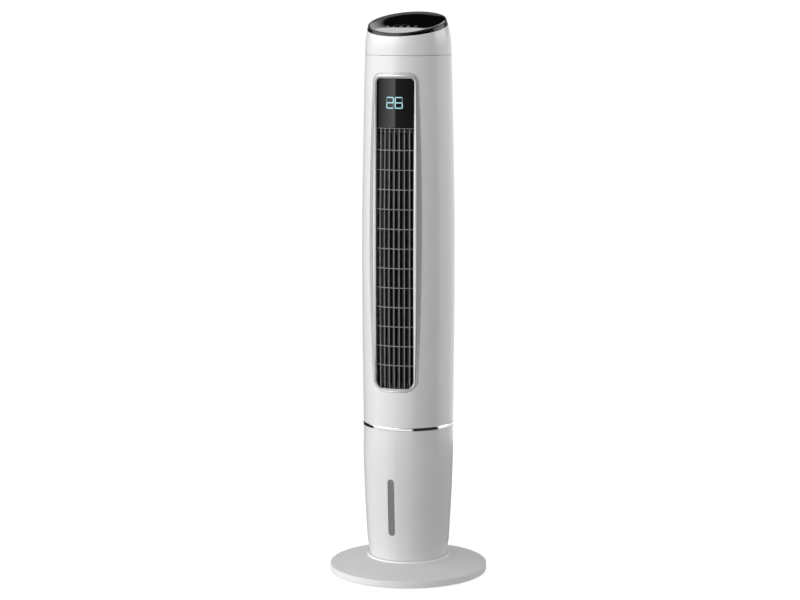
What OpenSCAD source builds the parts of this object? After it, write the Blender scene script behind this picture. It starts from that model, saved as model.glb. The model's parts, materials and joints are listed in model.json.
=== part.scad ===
// Household tower evaporative cooler. Millimetres, +Z up, front towards -Y.
// Origin: centre of the base, on the floor.

/* [Base] */
// Radius of the round base
base_r = 150; // [142:1:160]
// Height of the base's upright edge
base_edge_h = 14.4; // [13.5:0.1:16]
// Height of the base's dome where the column stands
base_dome_h = 29; // [28:0.5:30]

/* [Water tank] */
// Half width of the water tank
tank_half_w = 57; // [56:0.5:58]
// Height of the water tank's open top
tank_top_z = 215; // [195:1:215]
// Wall thickness of the water tank
tank_wall = 2; // [1.5:0.1:3]

/* [Casing] */
// Wall thickness of the casings
casing_wall = 2.6; // [2:0.1:3]
// Half width of the air outlet inside the chrome frame
outlet_half_w = 37; // [36:0.5:38]
// Half width of the chrome frame at its ends
frame_half_w = 45; // [44:0.5:47]
// Extra half width of the chrome frame at its middle
frame_bulge = 6.6; // [4:0.2:8]

/* [Fan] */
// Radius of the tangential fan wheel
fan_r = 30; // [27:0.5:31]
// Number of fan blades
fan_blades = 28; // [20:1:32]

/* [Louvers] */
// Distance between neighbouring louver pivots
louver_pitch = 10.2; // [9.6:0.1:10.3]
// Chord of a louver blade
louver_chord = 17; // [14:0.5:17]
// Angle at which the louvers stand, towards +X
louver_rest = 33; // [20:1:36]

/* [Hidden] */

$fn = 64;
fit = 0.15;

// Heights along the column
housing_z0 = 33.2;
ring_z0 = 286;
ring_z1 = 292.5;
shell_z1 = 987.6;
head_z0 = 988.2;
plate_lo_z = 356;
plate_hi_z = 846;
plate_t = 4;

// Air outlet, chrome frame and grille
outlet_z0 = 366;
outlet_z1 = 946;
frame_z0 = 360;
frame_z1 = 957.5;
bar_top_z = 850;
bar_pitch = 36.7;
bar_count = 13;
rib_step = 7;
display_z0 = 855;
display_z1 = 943;
split_y = 15;

// Fan and louvers
fan_y = 3;
fan_z0 = 368;
fan_z1 = 838;
shaft_r = 3;
louver_y = -59.5;
louver_count = 7;
louver_t = 1.4;
crank_arm = 7;
blade_z0 = 372;
blade_z1 = 842;

// Rear intake
intake_half_w = 48;
intake_z0 = 350;
intake_z1 = 965;

// ---- outline of the column ------------------------------------------------

function lower_r(z) = 86.2 - 8.6 * pow(max(0, 286 - z) / 236, 1.8);
function upper_r(z) = z < 620
    ? 88.5 - 2.5 * pow((620 - z) / 328, 2)
    : 88.5 - 6.7 * pow((z - 620) / 368, 1.5);
function head_r(z) = 81.8 - 10 * pow(max(0, z - 988) / 66, 2.3);
function lerp(a, b, t) = a + (b - a) * t;

function low_side(d, z0, z1, n = 12) =
    [for (i = [0:n]) let (z = lerp(z0, z1, i / n)) [lower_r(z) + d, z]];
function up_side(d, z0, z1, n = 22) =
    [for (i = [0:n]) let (z = lerp(z0, z1, i / n)) [upper_r(z) + d, z]];
function head_side(d, z0, z1, n = 14) =
    [for (i = [0:n]) let (z = lerp(z0, z1, i / n)) [head_r(z) + d, z]];
function flip(points) = [for (i = [len(points) - 1:-1:0]) points[i]];

// A wall of the column between two offsets from its outline
module low_wall(d_in, d_out, z0, z1, n = 12)
    rotate_extrude($fn = 128)
        polygon(concat(low_side(d_out, z0, z1, n), flip(low_side(d_in, z0, z1, n))));
module up_wall(d_in, d_out, z0, z1, n = 22)
    rotate_extrude($fn = 128)
        polygon(concat(up_side(d_out, z0, z1, n), flip(up_side(d_in, z0, z1, n))));
module head_solid(d, z0, z1)
    rotate_extrude($fn = 128)
        polygon(concat([[0, z0]], head_side(d, z0, z1), [[0, z1]]));

// ---- outlines seen from the front -----------------------------------------

function arc(cx, cz, r, a0, a1, n = 6) =
    [for (i = [0:n]) let (a = lerp(a0, a1, i / n)) [cx + r * cos(a), cz + r * sin(a)]];
function round_rect(w, z0, z1, r) = concat(
    arc(w - r, z0 + r, r, -90, 0), arc(w - r, z1 - r, r, 0, 90),
    arc(r - w, z1 - r, r, 90, 180), arc(r - w, z0 + r, r, 180, 270));
// A rounded rectangle whose long sides bow outwards by b at mid height
function bowed_side(w, b, z0, z1, n = 12) =
    [for (i = [1:n - 1]) [w + b * (1 - pow(2 * i / n - 1, 2)), lerp(z0, z1, i / n)]];
function mirror_x(points) = [for (p = flip(points)) [-p[0], p[1]]];
function bowed_half(w, b, z0, z1, r) = concat(
    arc(w - r, z0 + r, r, -90, 0),
    bowed_side(w, b, z0 + r, z1 - r),
    arc(w - r, z1 - r, r, 0, 90));
function bowed_rect(w, b, z0, z1, r) =
    concat(bowed_half(w, b, z0, z1, r), mirror_x(bowed_half(w, b, z0, z1, r)));

// Extrude an outline in X and Z from y = 0 towards the front or the rear
module to_front(points, depth = 120) rotate([90, 0, 0]) linear_extrude(depth) polygon(points);
module to_rear(points, depth = 120) mirror([0, 1, 0]) to_front(points, depth);

// Half spaces above and below the two slanted planes of the head, low at the front
rim_tilt = 12.8;
rim_axis_z = 1041.1;
panel_tilt = 14.66;
panel_axis_z = 1049.5;
module above(axis_z, tilt) translate([0, 0, axis_z]) rotate([tilt, 0, 0])
    translate([-120, -120, 0]) cube([240, 240, 90]);
module below(axis_z, tilt) translate([0, 0, axis_z]) rotate([tilt, 0, 0])
    translate([-120, -120, -90]) cube([240, 240, 90]);

module box(x0, x1, y0, y1, z0, z1) translate([x0, y0, z0]) cube([x1 - x0, y1 - y0, z1 - z0]);
module rod(x, y, z0, z1, r) translate([x, y, z0]) cylinder(h = z1 - z0, r = r, $fn = 32);
module tube(x, y, z0, z1, r, bore) difference() {
    rod(x, y, z0, z1, r);
    rod(x, y, z0 - 1, z1 + 1, bore);
}
module disc(z0, z1, r) translate([0, 0, z0]) cylinder(h = z1 - z0, r = r, $fn = 128);

// ---- base -------------------------------------------------------------------

column_seat_z = 33;
dome_r = 79;
boss_r = 58;
boss_angles = [45, 135, 225, 315];
ballast_z0 = 4;
ballast_z1 = 10;
function dome_z(r) = base_dome_h
    - (base_dome_h - base_edge_h) * pow(max(0, r - dome_r) / (base_r - 1.5 - dome_r), 1.5);
dome = [for (i = [0:10]) let (r = lerp(base_r - 1.5, dome_r + 1, i / 10)) [r, dome_z(r)]];
dome_inside = [for (i = [10:-1:0]) let (r = lerp(base_r - 4, dome_r + 1, i / 10))
    [r, dome_z(r + 2) - 3]];

module base_plate() color("white") difference() {
    union() {
        rotate_extrude($fn = 128) polygon(concat(
            [[base_r - 3, 1.5], [base_r - 1, 1.5], [base_r, 2.5], [base_r, base_edge_h - 1.5]],
            dome,
            [[78.8, 29.4], [78.2, 30.4], [78.2, 32.4], [77.6, column_seat_z],
             [71, column_seat_z], [71, 30], [0, 30], [0, 27], [73.5, 27]],
            dome_inside,
            [[base_r - 3, 10]]));
        for (a = boss_angles) rotate(a) rod(boss_r, 0, 4, 28, 8);
    }
    for (a = boss_angles) rotate(a) {
        rod(boss_r, 0, 0, 16, 5);
        rod(boss_r, 0, 10, 40, 2.3);
    }
}

module base_cover() color("dimgray") difference() {
    disc(1.6, 3.8, base_r - 3.4);
    for (a = boss_angles) rotate(a) rod(boss_r, 0, 0, 10, 8.5);
    for (i = [0:5]) rotate(60 * i) rod(128, 0, 0, 10, 6.1);
}

module ballast_plate() color("slategray") difference() {
    disc(ballast_z0, ballast_z1, 136);
    disc(ballast_z0 - 1, ballast_z1 + 1, 72);
}

module rubber_feet() color("black") for (i = [0:5]) rotate(60 * i) {
    rod(128, 0, 0, 1.55, 9);
    rod(128, 0, 1.5, 3.9, 6);
}

module base_screws() color("silver") for (a = boss_angles) rotate(a) {
    rod(boss_r, 0, 12.6, 15.9, 4.2);
    rod(boss_r, 0, 15, 40, 1.78);
}

// ---- water tank bay --------------------------------------------------------------

bay_z0 = 50;
bay_z1 = 222;
bay_half_w = 63;
floor_z0 = 38;
floor_z1 = 42;
window_turn = -4.2;
window_z0 = 82.2;
window_z1 = 192.6;
window_half_w = 6.8;

module tank_housing() color("white") difference() {
    union() {
        rotate_extrude($fn = 128) polygon(concat(
            [[71.7, housing_z0], [73.6, housing_z0], [74.3, 33.9]],
            [[74.6, 42], [75.9, 48], [77.2, 55]],
            low_side(0, 62, ring_z0),
            flip(low_side(-casing_wall, 62, ring_z0)),
            [[74.4, 52], [72.4, 45]]));
        disc(floor_z0, floor_z1, 72.6);
        for (a = boss_angles) rotate(a) rod(boss_r, 0, housing_z0, floor_z0 + 1, 6.5);
    }
    to_rear(round_rect(bay_half_w, bay_z0, bay_z1, 8));
    rotate(window_turn) to_front(round_rect(window_half_w, window_z0, window_z1, window_half_w - 0.1));
    translate([0, 60, 252]) rotate([-90, 0, 0]) cylinder(h = 40, r = 6.2, $fn = 48);
    for (a = boss_angles) rotate(a) rod(boss_r, 0, 20, 41, 1.8);
}

module level_window() color("gray") rotate(window_turn) union() {
    intersection() {
        low_wall(-4.6, 0.3, 70, 196, 8);
        to_front(round_rect(window_half_w - fit, window_z0 + fit, window_z1 - fit, window_half_w - 0.3));
    }
    intersection() {
        low_wall(-4.6, -casing_wall - 0.1, 70, 196, 8);
        to_front(round_rect(window_half_w + 3, window_z0 - 3, window_z1 + 3, window_half_w + 2.9));
    }
}

module tank_rails() color("dimgray") for (x = [-40, 40])
    box(x - 5, x + 5, -48, 56, floor_z1, bay_z0 + 0.4);

tank_z0 = 51;
tank_back = 48;
module tank_plan(inset) intersection() {
    circle(r = 70 - inset, $fn = 128);
    translate([-tank_half_w + inset, -80]) square([2 * (tank_half_w - inset), 80 + tank_back - inset]);
}
module water_tank() color([0.8, 0.86, 0.9, 0.6]) difference() {
    translate([0, 0, tank_z0]) linear_extrude(tank_top_z - tank_z0) tank_plan(0);
    translate([0, 0, tank_z0 + 2.5]) linear_extrude(tank_top_z) tank_plan(tank_wall);
}

spout_x = 28;
spout_y = 34;
hose_x = -50;
hose_y = 32;
module tank_lid() color("gainsboro") difference() {
    translate([0, 0, tank_top_z + 0.1]) linear_extrude(2.6) tank_plan(0);
    box(-24, 24, -46, -16, tank_top_z - 1, tank_top_z + 6);
    rod(hose_x, hose_y, tank_top_z - 1, tank_top_z + 6, 5);
    rod(spout_x, spout_y, tank_top_z - 1, tank_top_z + 6, 9);
}

grip_z0 = 186;
grip_z1 = 208;
grip_half_w = 24;
module tank_panel() color("white") difference() {
    union() {
        intersection() {
            low_wall(-casing_wall, 0, 46, 226, 10);
            to_rear(round_rect(bay_half_w - 0.6, bay_z0 + 0.6, bay_z1 - 0.6, 7.4));
        }
        intersection() {
            low_wall(-60, -casing_wall + 0.3, 46, 226, 10);
            union() {
                for (z = [56, 118, 182]) box(-50, 50, tank_back + 0.1, 90, z, z + 2);
                box(-grip_half_w - 2, grip_half_w + 2, 56, 90, grip_z0 - 2, grip_z1 + 2);
            }
        }
    }
    box(-grip_half_w, grip_half_w, 58, 100, grip_z0, grip_z1);
}

pump_z0 = 60;
module pump() color("black") union() {
    box(-53, -22, 14, 39, pump_z0, pump_z0 + 34);
    rod(-36, 27, pump_z0 + 33, pump_z0 + 40, 9);
    rod(hose_x, hose_y, pump_z0 + 33, pump_z0 + 46, 3.2);
}
module pump_strainer() color("dimgray") difference() {
    box(-54, -21, 13, 40, tank_z0 + 2.6, pump_z0 - 0.1);
    for (i = [0:5]) box(-53 + 5.4 * i, -50.4 + 5.4 * i, 10, 50, tank_z0 + 4.6, pump_z0 - 2);
}
module pump_tube() color("white")
    tube(hose_x, hose_y, pump_z0 + 36, tank_top_z + 5.5, 4.6, 3.3);

// ---- middle ----------------------------------------------------------------------

deck_z0 = 276;
deck_z1 = 281;
module mid_deck() color("dimgray") difference() {
    union() {
        disc(deck_z0, deck_z1, 82.8);
        difference() {
            disc(deck_z0, 302, 82.6);
            disc(deck_z0 - 1, 303, 79.6);
        }
        rod(hose_x, hose_y, tank_top_z + 6, deck_z0 + 1, 6.5);
    }
    rod(hose_x, hose_y, 200, 320, 4.7);
    rod(spout_x, spout_y, 200, 320, 6.2);
    for (x = [-20, 20]) rod(x, 66, 200, 320, 4);
}

module cord_gland() color("black") translate([0, 0, 252]) rotate([-90, 0, 0]) difference() {
    union() {
        translate([0, 0, 79]) cylinder(h = 12, r = 6.05, $fn = 48);
        translate([0, 0, 86.6]) cylinder(h = 3.4, r = 9, $fn = 48);
        translate([0, 0, 79]) cylinder(h = 2.4, r = 8, $fn = 48);
    }
    translate([0, 0, 70]) cylinder(h = 30, r = 3.4, $fn = 48);
}

module trim_ring() color("silver") rotate_extrude($fn = 128) polygon([
    [82.8, ring_z0 + 0.05], [85.6, ring_z0 + 0.05], [86.5, ring_z0 + 1], [86.6, 289],
    [86.4, ring_z1 - 1], [85.6, ring_z1 - 0.05], [82.8, ring_z1 - 0.05]]);

module power_board() color("green") union() {
    box(-30, 30, -72, -38, deck_z1 + 5, deck_z1 + 6.6);
    for (x = [-26, 26]) for (y = [-68, -42]) rod(x, y, deck_z1, deck_z1 + 5.5, 2.5);
    box(-26, -6, -66, -48, deck_z1 + 6, deck_z1 + 22);
    box(2, 14, -64, -50, deck_z1 + 6, deck_z1 + 18);
    rod(22, -56, deck_z1 + 6, deck_z1 + 20, 5);
}

// ---- fan --------------------------------------------------------------------------

module motor_mount() color("dimgray") difference() {
    translate([0, fan_y, deck_z1]) cylinder(h = 9, r = 35, $fn = 96);
    translate([0, fan_y, deck_z1 + 4]) cylinder(h = 9, r = 32.2, $fn = 96);
    translate([0, fan_y, deck_z1 - 1]) cylinder(h = 9, r = 20, $fn = 96);
}
motor_z0 = deck_z1 + 4.1;
motor_z1 = 336;
module fan_motor() color("silver") difference() {
    union() {
        translate([0, fan_y, motor_z0]) cylinder(h = motor_z1 - motor_z0, r = 32, $fn = 96);
        rod(0, fan_y, motor_z1 - 1, motor_z1 + 5, 9);
        for (a = [0:30:330]) translate([0, fan_y, motor_z0 + 14]) rotate(a)
            translate([31, -2, 0]) cube([2.4, 4, 24]);
    }
    rod(0, fan_y, motor_z0 + 4, 400, shaft_r + 0.05);
}
module motor_shaft() color("lightgray") rod(0, fan_y, motor_z0 + 6, fan_z0 + 14, shaft_r);
module stub_shaft() color("lightgray") rod(0, fan_y, fan_z1 - 12, plate_hi_z + 9, shaft_r);

wheel_sections = 6;
blade_arc_r = 5.2;
function blade_arc(r) = arc(fan_r - blade_arc_r - 0.4, -1, r, 0, 70, 4);
blade_outline = concat(blade_arc(blade_arc_r), flip(blade_arc(blade_arc_r - 0.8)));
module fan_wheel() color("dimgray") translate([0, fan_y, 0]) union() {
    for (i = [0:fan_blades - 1]) rotate(i * 360 / fan_blades)
        translate([0, 0, fan_z0 + 1]) linear_extrude(fan_z1 - fan_z0 - 2) polygon(blade_outline);
    for (k = [1:wheel_sections - 1]) translate([0, 0, lerp(fan_z0, fan_z1, k / wheel_sections) - 0.7])
        linear_extrude(1.4) difference() {
            circle(r = fan_r, $fn = 96);
            circle(r = fan_r - 8, $fn = 96);
        }
    difference() {
        union() {
            disc(fan_z0, fan_z0 + 2, fan_r);
            rod(0, 0, fan_z0, fan_z0 + 14, 8);
        }
        rod(0, 0, fan_z0 - 1, fan_z0 + 20, shaft_r);
    }
    difference() {
        union() {
            disc(fan_z1 - 2, fan_z1, fan_r);
            rod(0, 0, fan_z1 - 12, fan_z1, 8);
        }
        rod(0, 0, fan_z1 - 20, fan_z1 + 1, shaft_r);
    }
}

module fan_bush() color("black") difference() {
    union() {
        rod(0, fan_y, plate_hi_z, plate_hi_z + 12, 7.9);
        rod(0, fan_y, plate_hi_z + plate_t + 0.1, plate_hi_z + 8, 11);
    }
    rod(0, fan_y, plate_hi_z - 4, plate_hi_z + 20, shaft_r + 0.05);
}

function louver_x(k) = (k - (louver_count + 1) / 2) * louver_pitch;

// Plan of the two end plates that carry the fan and the louvers
module end_plate_plan() intersection() {
    circle(r = 74, $fn = 128);
    translate([-46, -72]) square([92, 112]);
}
module pivot_holes(z0, z1) for (k = [1:louver_count]) rod(louver_x(k), louver_y, z0, z1, 1.65);

module lower_end_plate() color("dimgray") difference() {
    translate([0, 0, plate_lo_z]) linear_extrude(plate_t) end_plate_plan();
    rod(0, fan_y, 300, 400, 10);
    pivot_holes(300, 400);
    for (x = [-16, 16]) rod(x, louver_y, 300, 400, 1.3);
    rod(spout_x, spout_y, 300, 400, 6.5);
    box(spout_x - 6.5, spout_x + 6.5, spout_y, 60, 300, 400);
}
module upper_end_plate() color("dimgray") difference() {
    translate([0, 0, plate_hi_z]) linear_extrude(plate_t) end_plate_plan();
    rod(0, fan_y, 800, 900, 8);
    pivot_holes(800, 900);
}

// Spiral wall that wraps the fan, on the +X side, and its straight outlet
function spiral(d, a0, a1, n = 12) = [for (i = [0:n])
    let (a = lerp(a0, a1, i / n), r = 34 + 9 * i / n + d) [r * cos(a), fan_y + r * sin(a)]];
duct_z0 = plate_lo_z + plate_t + 0.1;
duct_z1 = plate_hi_z - 0.1;
module scroll_wall() color("dimgray") translate([0, 0, duct_z0]) linear_extrude(duct_z1 - duct_z0)
    polygon(concat(
        spiral(0, 62, -38),
        [[36, -46], [38, -46]],
        flip(spiral(2, 62, -38))));
module vortex_wall() color("dimgray") translate([0, 0, duct_z0]) linear_extrude(duct_z1 - duct_z0)
    polygon(concat(
        [[-36, -46], [-38, -46], [-41, -22], [-43.5, 4], [-41.5, 4.5]],
        arc(-33.6, -8, 2, 60, -40)));

// ---- louvers ------------------------------------------------------------------------

module louver_motor() color("silver") difference() {
    union() {
        rod(0, louver_y, plate_lo_z - 20, plate_lo_z - 0.1, 13);
        box(-20, 20, louver_y - 3.5, louver_y + 3.5, plate_lo_z - 1.6, plate_lo_z - 0.1);
    }
    rod(0, louver_y, plate_lo_z - 16, plate_lo_z + 1, 1.65);
    for (x = [-16, 16]) rod(x, louver_y, plate_lo_z - 6, plate_lo_z + 1, 1.3);
}

// One blade, seen from above: a thin lens along its chord
module blade_plan() intersection() {
    translate([60, 0]) circle(r = 60 + louver_t / 2, $fn = 256);
    translate([-60, 0]) circle(r = 60 + louver_t / 2, $fn = 256);
    square([6, louver_chord], center = true);
}
pivot_r = 1.6;
module louver(k) color("gray") translate([louver_x(k), louver_y, 0]) rotate(louver_rest) union() {
    translate([0, 0, blade_z0]) linear_extrude(blade_z1 - blade_z0) blade_plan();
    translate([-2, -2.5, blade_z0 - 2]) cube([4, 11, 2.2]);
    translate([0, 0, blade_z1 - 1]) cylinder(h = 1.6, r = 2.4, $fn = 32);
    rod(0, 0, k == 4 ? plate_lo_z - 14 : plate_lo_z + 0.4, blade_z0 - 1, pivot_r);
    rod(0, 0, blade_z1, plate_hi_z + plate_t - 0.4, pivot_r);
    rod(0, crank_arm, plate_lo_z + 6.2, blade_z0 - 1, 1);
}
module louver_1() louver(1);
module louver_2() louver(2);
module louver_3() louver(3);
module louver_4() louver(4);
module louver_5() louver(5);
module louver_6() louver(6);
module louver_7() louver(7);

// Flat bar that joins the cranks. Each crank pin runs in its own slot.
link_z0 = plate_lo_z + 7.4;
module louver_link() color("silver")
    translate([-crank_arm * sin(louver_rest), louver_y + crank_arm * cos(louver_rest), link_z0])
        linear_extrude(2) difference() {
            translate([-36, -3.4]) square([72, 7.6]);
            for (k = [1:louver_count]) translate([louver_x(k), 0]) {
                translate([0, -0.5]) circle(r = 1.4, $fn = 32);
                translate([0, 1.3]) circle(r = 1.4, $fn = 32);
                translate([-1.4, -0.5]) square([2.8, 1.8]);
            }
        }

// ---- upper casing ----------------------------------------------------------------------

screw_x = 72;
screw_levels = [322, 480, 640, 800, 950];
module to_y(x, y0, y1, z, r) translate([x, y0, z]) rotate([-90, 0, 0])
    cylinder(h = y1 - y0, r = r, $fn = 32);

module front_shell() color("white") difference() {
    union() {
        up_wall(-casing_wall, 0, ring_z1 + 0.1, shell_z1);
        intersection() {
            up_wall(-18, -casing_wall + 0.5, ring_z1 + 12, shell_z1 - 12);
            for (z = screw_levels) for (s = [-1, 1])
                box(s * 77 - 12, s * 77 + 12, 3, split_y, z - 5, z + 5);
        }
    }
    box(-120, 120, split_y, 120, 200, 1100);
    to_front(round_rect(outlet_half_w + 3.5, outlet_z0 - 3, outlet_z1 + 5, 10));
    for (z = screw_levels) for (s = [-1, 1]) to_y(s * screw_x, 5, 30, z, 1.5);
}

module rear_shell() color("white") difference() {
    union() {
        up_wall(-casing_wall, 0, ring_z1 + 0.1, shell_z1);
        intersection() {
            up_wall(-60, -casing_wall + 0.5, ring_z1 + 12, shell_z1 - 12);
            for (z = screw_levels) for (s = [-1, 1]) to_y(s * screw_x, 0, 80, z, 4.5);
        }
    }
    box(-120, 120, -120, split_y + 0.3, 200, 1100);
    to_rear(round_rect(intake_half_w, intake_z0, intake_z1, 9));
    for (z = screw_levels) for (s = [-1, 1]) {
        to_y(s * screw_x, 0, 40, z, 1.8);
        to_y(s * screw_x, 24, 90, z, 3.4);
    }
}

module case_screws() color("silver") for (z = screw_levels) for (s = [-1, 1]) {
    to_y(s * screw_x, 7, 25, z, 1.45);
    to_y(s * screw_x, 24.1, 27, z, 3);
}

module grille_frame() color("silver") difference() {
    union() {
        intersection() {
            up_wall(0.05, 1.3, 350, 966, 20);
            to_front(bowed_rect(frame_half_w, frame_bulge, frame_z0, frame_z1, 18));
        }
        intersection() {
            up_wall(-casing_wall - 0.6, 1.3, 350, 966, 20);
            to_front(round_rect(outlet_half_w + 3.3, outlet_z0 - 2.8, outlet_z1 + 4.8, 9.8));
        }
    }
    to_front(round_rect(outlet_half_w, outlet_z0, outlet_z1, 8));
}

rib_angles = [for (i = [-3:3]) i * rib_step];
module front_grille() color("dimgray") union() {
    intersection() {
        up_wall(-8.5, -casing_wall - 0.7, 350, 966, 20);
        difference() {
            to_front(round_rect(outlet_half_w + 3.2, outlet_z0 - 2.7, outlet_z1 + 4.7, 9.7));
            to_front(round_rect(outlet_half_w + 0.2, outlet_z0 + 0.3, outlet_z1 - 0.3, 8));
        }
    }
    intersection() {
        up_wall(-8.5, -5.5, 350, display_z0 - 0.1, 18);
        to_front(round_rect(outlet_half_w + 1, outlet_z0 - 1, outlet_z1, 8));
        for (a = rib_angles) rotate(a) box(-0.9, 0.9, -100, -40, 350, 860);
    }
    intersection() {
        up_wall(-9, -6, 350, display_z0 - 0.1, 18);
        to_front(round_rect(outlet_half_w + 1, outlet_z0 - 1, outlet_z1, 8));
        for (i = [0:bar_count - 1]) let (z = i == 0 ? display_z0 - 1.2 : bar_top_z - i * bar_pitch)
            box(-60, 60, -100, 0, z - 0.9, z + 0.9);
    }
}

module display_window() color("black") intersection() {
    up_wall(-7.5, -4.5, display_z0, outlet_z1, 6);
    to_front(concat(
        [[-outlet_half_w, display_z0], [outlet_half_w, display_z0]],
        arc(outlet_half_w - 8, outlet_z1 - 8.5, 8, 0, 90),
        arc(8 - outlet_half_w, outlet_z1 - 8.5, 8, 90, 180)));
}
module display_board() color("green") union() {
    box(-32, 32, -66, -64.4, 862, 938);
    for (x = [-28, 28]) for (z = [866, 934]) translate([x, -64.6, z]) rotate([-90, 0, 0])
        cylinder(h = 5, r = 2.4, $fn = 24);
    box(-17, 17, -69.4, -66, 884, 916);
    box(-8, 8, -64.5, -61, 890, 910);
}

// Seven-bar digits: top, upper right, lower right, bottom, lower left, upper left, middle
digit_w = 15.1;
digit_h = 21.6;
bar_w = 2.2;
segments_of_2 = [1, 1, 0, 1, 1, 0, 1];
segments_of_6 = [1, 0, 1, 1, 1, 1, 1];
module digit(segments) {
    s = (digit_h - bar_w) / 2;
    right = digit_w - bar_w;
    strips = [
        [0, 2 * s, digit_w, bar_w],
        [right, s, bar_w, s + bar_w],
        [right, 0, bar_w, s + bar_w],
        [0, 0, digit_w, bar_w],
        [0, 0, bar_w, s + bar_w],
        [0, s, bar_w, s + bar_w],
        [0, s, digit_w, bar_w]
    ];
    for (i = [0:6]) if (segments[i] == 1)
        translate([strips[i][0], strips[i][1]]) square([strips[i][2], strips[i][3]]);
}
module display_digits() color("cyan") intersection() {
    up_wall(-4.46, -4.3, display_z0 + 10, display_z1 - 10, 6);
    translate([0, 0, 890.4]) rotate([90, 0, 0]) linear_extrude(120) {
        translate([-digit_w - 0.9, 0]) digit(segments_of_2);
        translate([0.9, 0]) digit(segments_of_6);
    }
}

// ---- rear intake ---------------------------------------------------------------------

pad_half_w = 41;
pad_y0 = 43;
pad_y1 = 61;
pad_z0 = 372;
pad_z1 = 866;
// Row of holes that lets the water through above and below the pad
module drip_holes(z0, z1, r) for (i = [-6:6]) rod(i * 5.8, (pad_y0 + pad_y1) / 2, z0, z1, r);
module pad_frame() color("dimgray") difference() {
    box(-pad_half_w - 3, pad_half_w + 3, pad_y0 - 2, pad_y1 + 2, pad_z0 - 3, pad_z1 + 3);
    box(-pad_half_w, pad_half_w, pad_y0, pad_y1 + 3, pad_z0, pad_z1);
    box(4 - pad_half_w, pad_half_w - 4, pad_y0 - 5, pad_y1, pad_z0 + 4, pad_z1 - 4);
    drip_holes(pad_z0 - 9, pad_z1 + 9, 1.4);
}
module cooling_pad() color("saddlebrown")
    box(-pad_half_w + 0.2, pad_half_w - 0.2, pad_y0 + 0.2, pad_y1, pad_z0 + 0.2, pad_z1 - 0.2);

module water_distributor() color("white") difference() {
    box(-52, 44, pad_y0 - 2, pad_y1 + 0.5, pad_z1 + 3.2, pad_z1 + 20);
    box(-50, 42, pad_y0, pad_y1 - 1.5, pad_z1 + 5.2, pad_z1 + 30);
    drip_holes(pad_z1, pad_z1 + 9, 1.2);
}
hose_top = pad_z1 + 29;
module riser_hose() color("white") difference() {
    union() {
        rod(hose_x, hose_y, deck_z0 + 2, hose_top, 4);
        to_y(hose_x + 4, hose_y, 54, hose_top - 4.5, 3.4);
        rod(hose_x, hose_y, hose_top - 9, hose_top, 5.4);
    }
    rod(hose_x, hose_y, deck_z0 - 5, hose_top - 2, 2.6);
    to_y(hose_x + 4, hose_y, 56, hose_top - 4.5, 2);
}
tray_y1 = 63.5;
tray_z1 = pad_z0 - 6;
module drip_tray() color("dimgray") difference() {
    union() {
        box(-48, 48, pad_y0 - 2, tray_y1, plate_lo_z - 4, tray_z1);
        rod(spout_x, spout_y, 262, plate_lo_z + plate_t - 0.1, 6);
        box(spout_x - 6, spout_x + 6, spout_y, pad_y0, plate_lo_z - 4, tray_z1);
    }
    box(-46, 46, pad_y0, tray_y1 - 2, plate_lo_z - 2, tray_z1 + 1);
    box(spout_x - 4, spout_x + 4, spout_y - 2, pad_y0 + 1, plate_lo_z - 2, tray_z1 + 1);
    rod(spout_x, spout_y, 250, tray_z1, 4);
}

slot_rows = 50;
slot_pitch = 11.4;
slot_z0 = 372;
slot_w = 26;
slot_h = 6.6;
module rear_grille() color("white") difference() {
    union() {
        intersection() {
            up_wall(-casing_wall, 0, 340, 975, 20);
            to_rear(round_rect(intake_half_w - 0.5, intake_z0 + 0.5, intake_z1 - 0.5, 8.5));
        }
        intersection() {
            up_wall(-6, -casing_wall + 0.3, 340, 975, 20);
            difference() {
                to_rear(round_rect(intake_half_w - 1, intake_z0 + 1, intake_z1 - 1, 8));
                to_rear(round_rect(intake_half_w - 3, intake_z0 + 3, intake_z1 - 3, 6));
            }
        }
    }
    for (i = [0:slot_rows - 1]) for (x = [-42, -13, 16])
        translate([x, 50, slot_z0 + i * slot_pitch]) cube([slot_w, 50, slot_h]);
}
module dust_filter() color("gray") intersection() {
    up_wall(-5.4, -casing_wall - 0.1, 355, 960, 18);
    to_rear(round_rect(intake_half_w - 3.2, intake_z0 + 3.2, intake_z1 - 3.2, 5.8));
}

// ---- head ----------------------------------------------------------------------------------

module head_cap() color("white") union() {
    difference() {
        head_solid(0, head_z0, 1072);
        translate([0, 0, -0.1]) head_solid(-casing_wall, head_z0 - 0.5, 1072);
        above(rim_axis_z, rim_tilt);
    }
    difference() {
        union() {
            disc(979, 998, 78.9);
            disc(head_z0 + 0.2, 998, 79.6);
        }
        disc(978, 999, 76.8);
    }
}
module head_tray() color("dimgray") difference() {
    union() {
        disc(982, 984.5, 76.6);
        for (a = [30, 150, 210, 330]) rotate(a) rod(46, 0, 984, 1006, 3.5);
    }
    for (a = [30, 150, 210, 330]) rotate(a) rod(46, 0, 990, 1010, 1.2);
    rod(0, 20, 900, 1000, 9);
}

panel_t = 3;
module control_rim() color("black") difference() {
    head_solid(0, 1000, 1072);
    translate([0, 0, -0.1]) head_solid(-4.2, 999, 1073);
    above(panel_axis_z, panel_tilt);
    below(rim_axis_z + 0.1, rim_tilt);
    intersection() {
        head_solid(-1.5, 1000, 1080);
        above(panel_axis_z - panel_t, panel_tilt);
    }
}
module touch_panel() color("black") difference() {
    head_solid(-1.65, 1000, 1072);
    above(panel_axis_z - 0.3, panel_tilt);
    below(panel_axis_z - panel_t + 0.1, panel_tilt);
}
module control_board() color("green") translate([0, 0, 1035]) rotate([panel_tilt, 0, 0]) union() {
    translate([0, 0, 0]) cylinder(h = 1.6, r = 60, $fn = 96);
    for (i = [-2:2]) translate([i * 14, -36, 1.5]) cylinder(h = 8, r = 4, $fn = 24);
    translate([-14, 4, -5]) cube([28, 20, 5.2]);
}

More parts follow.
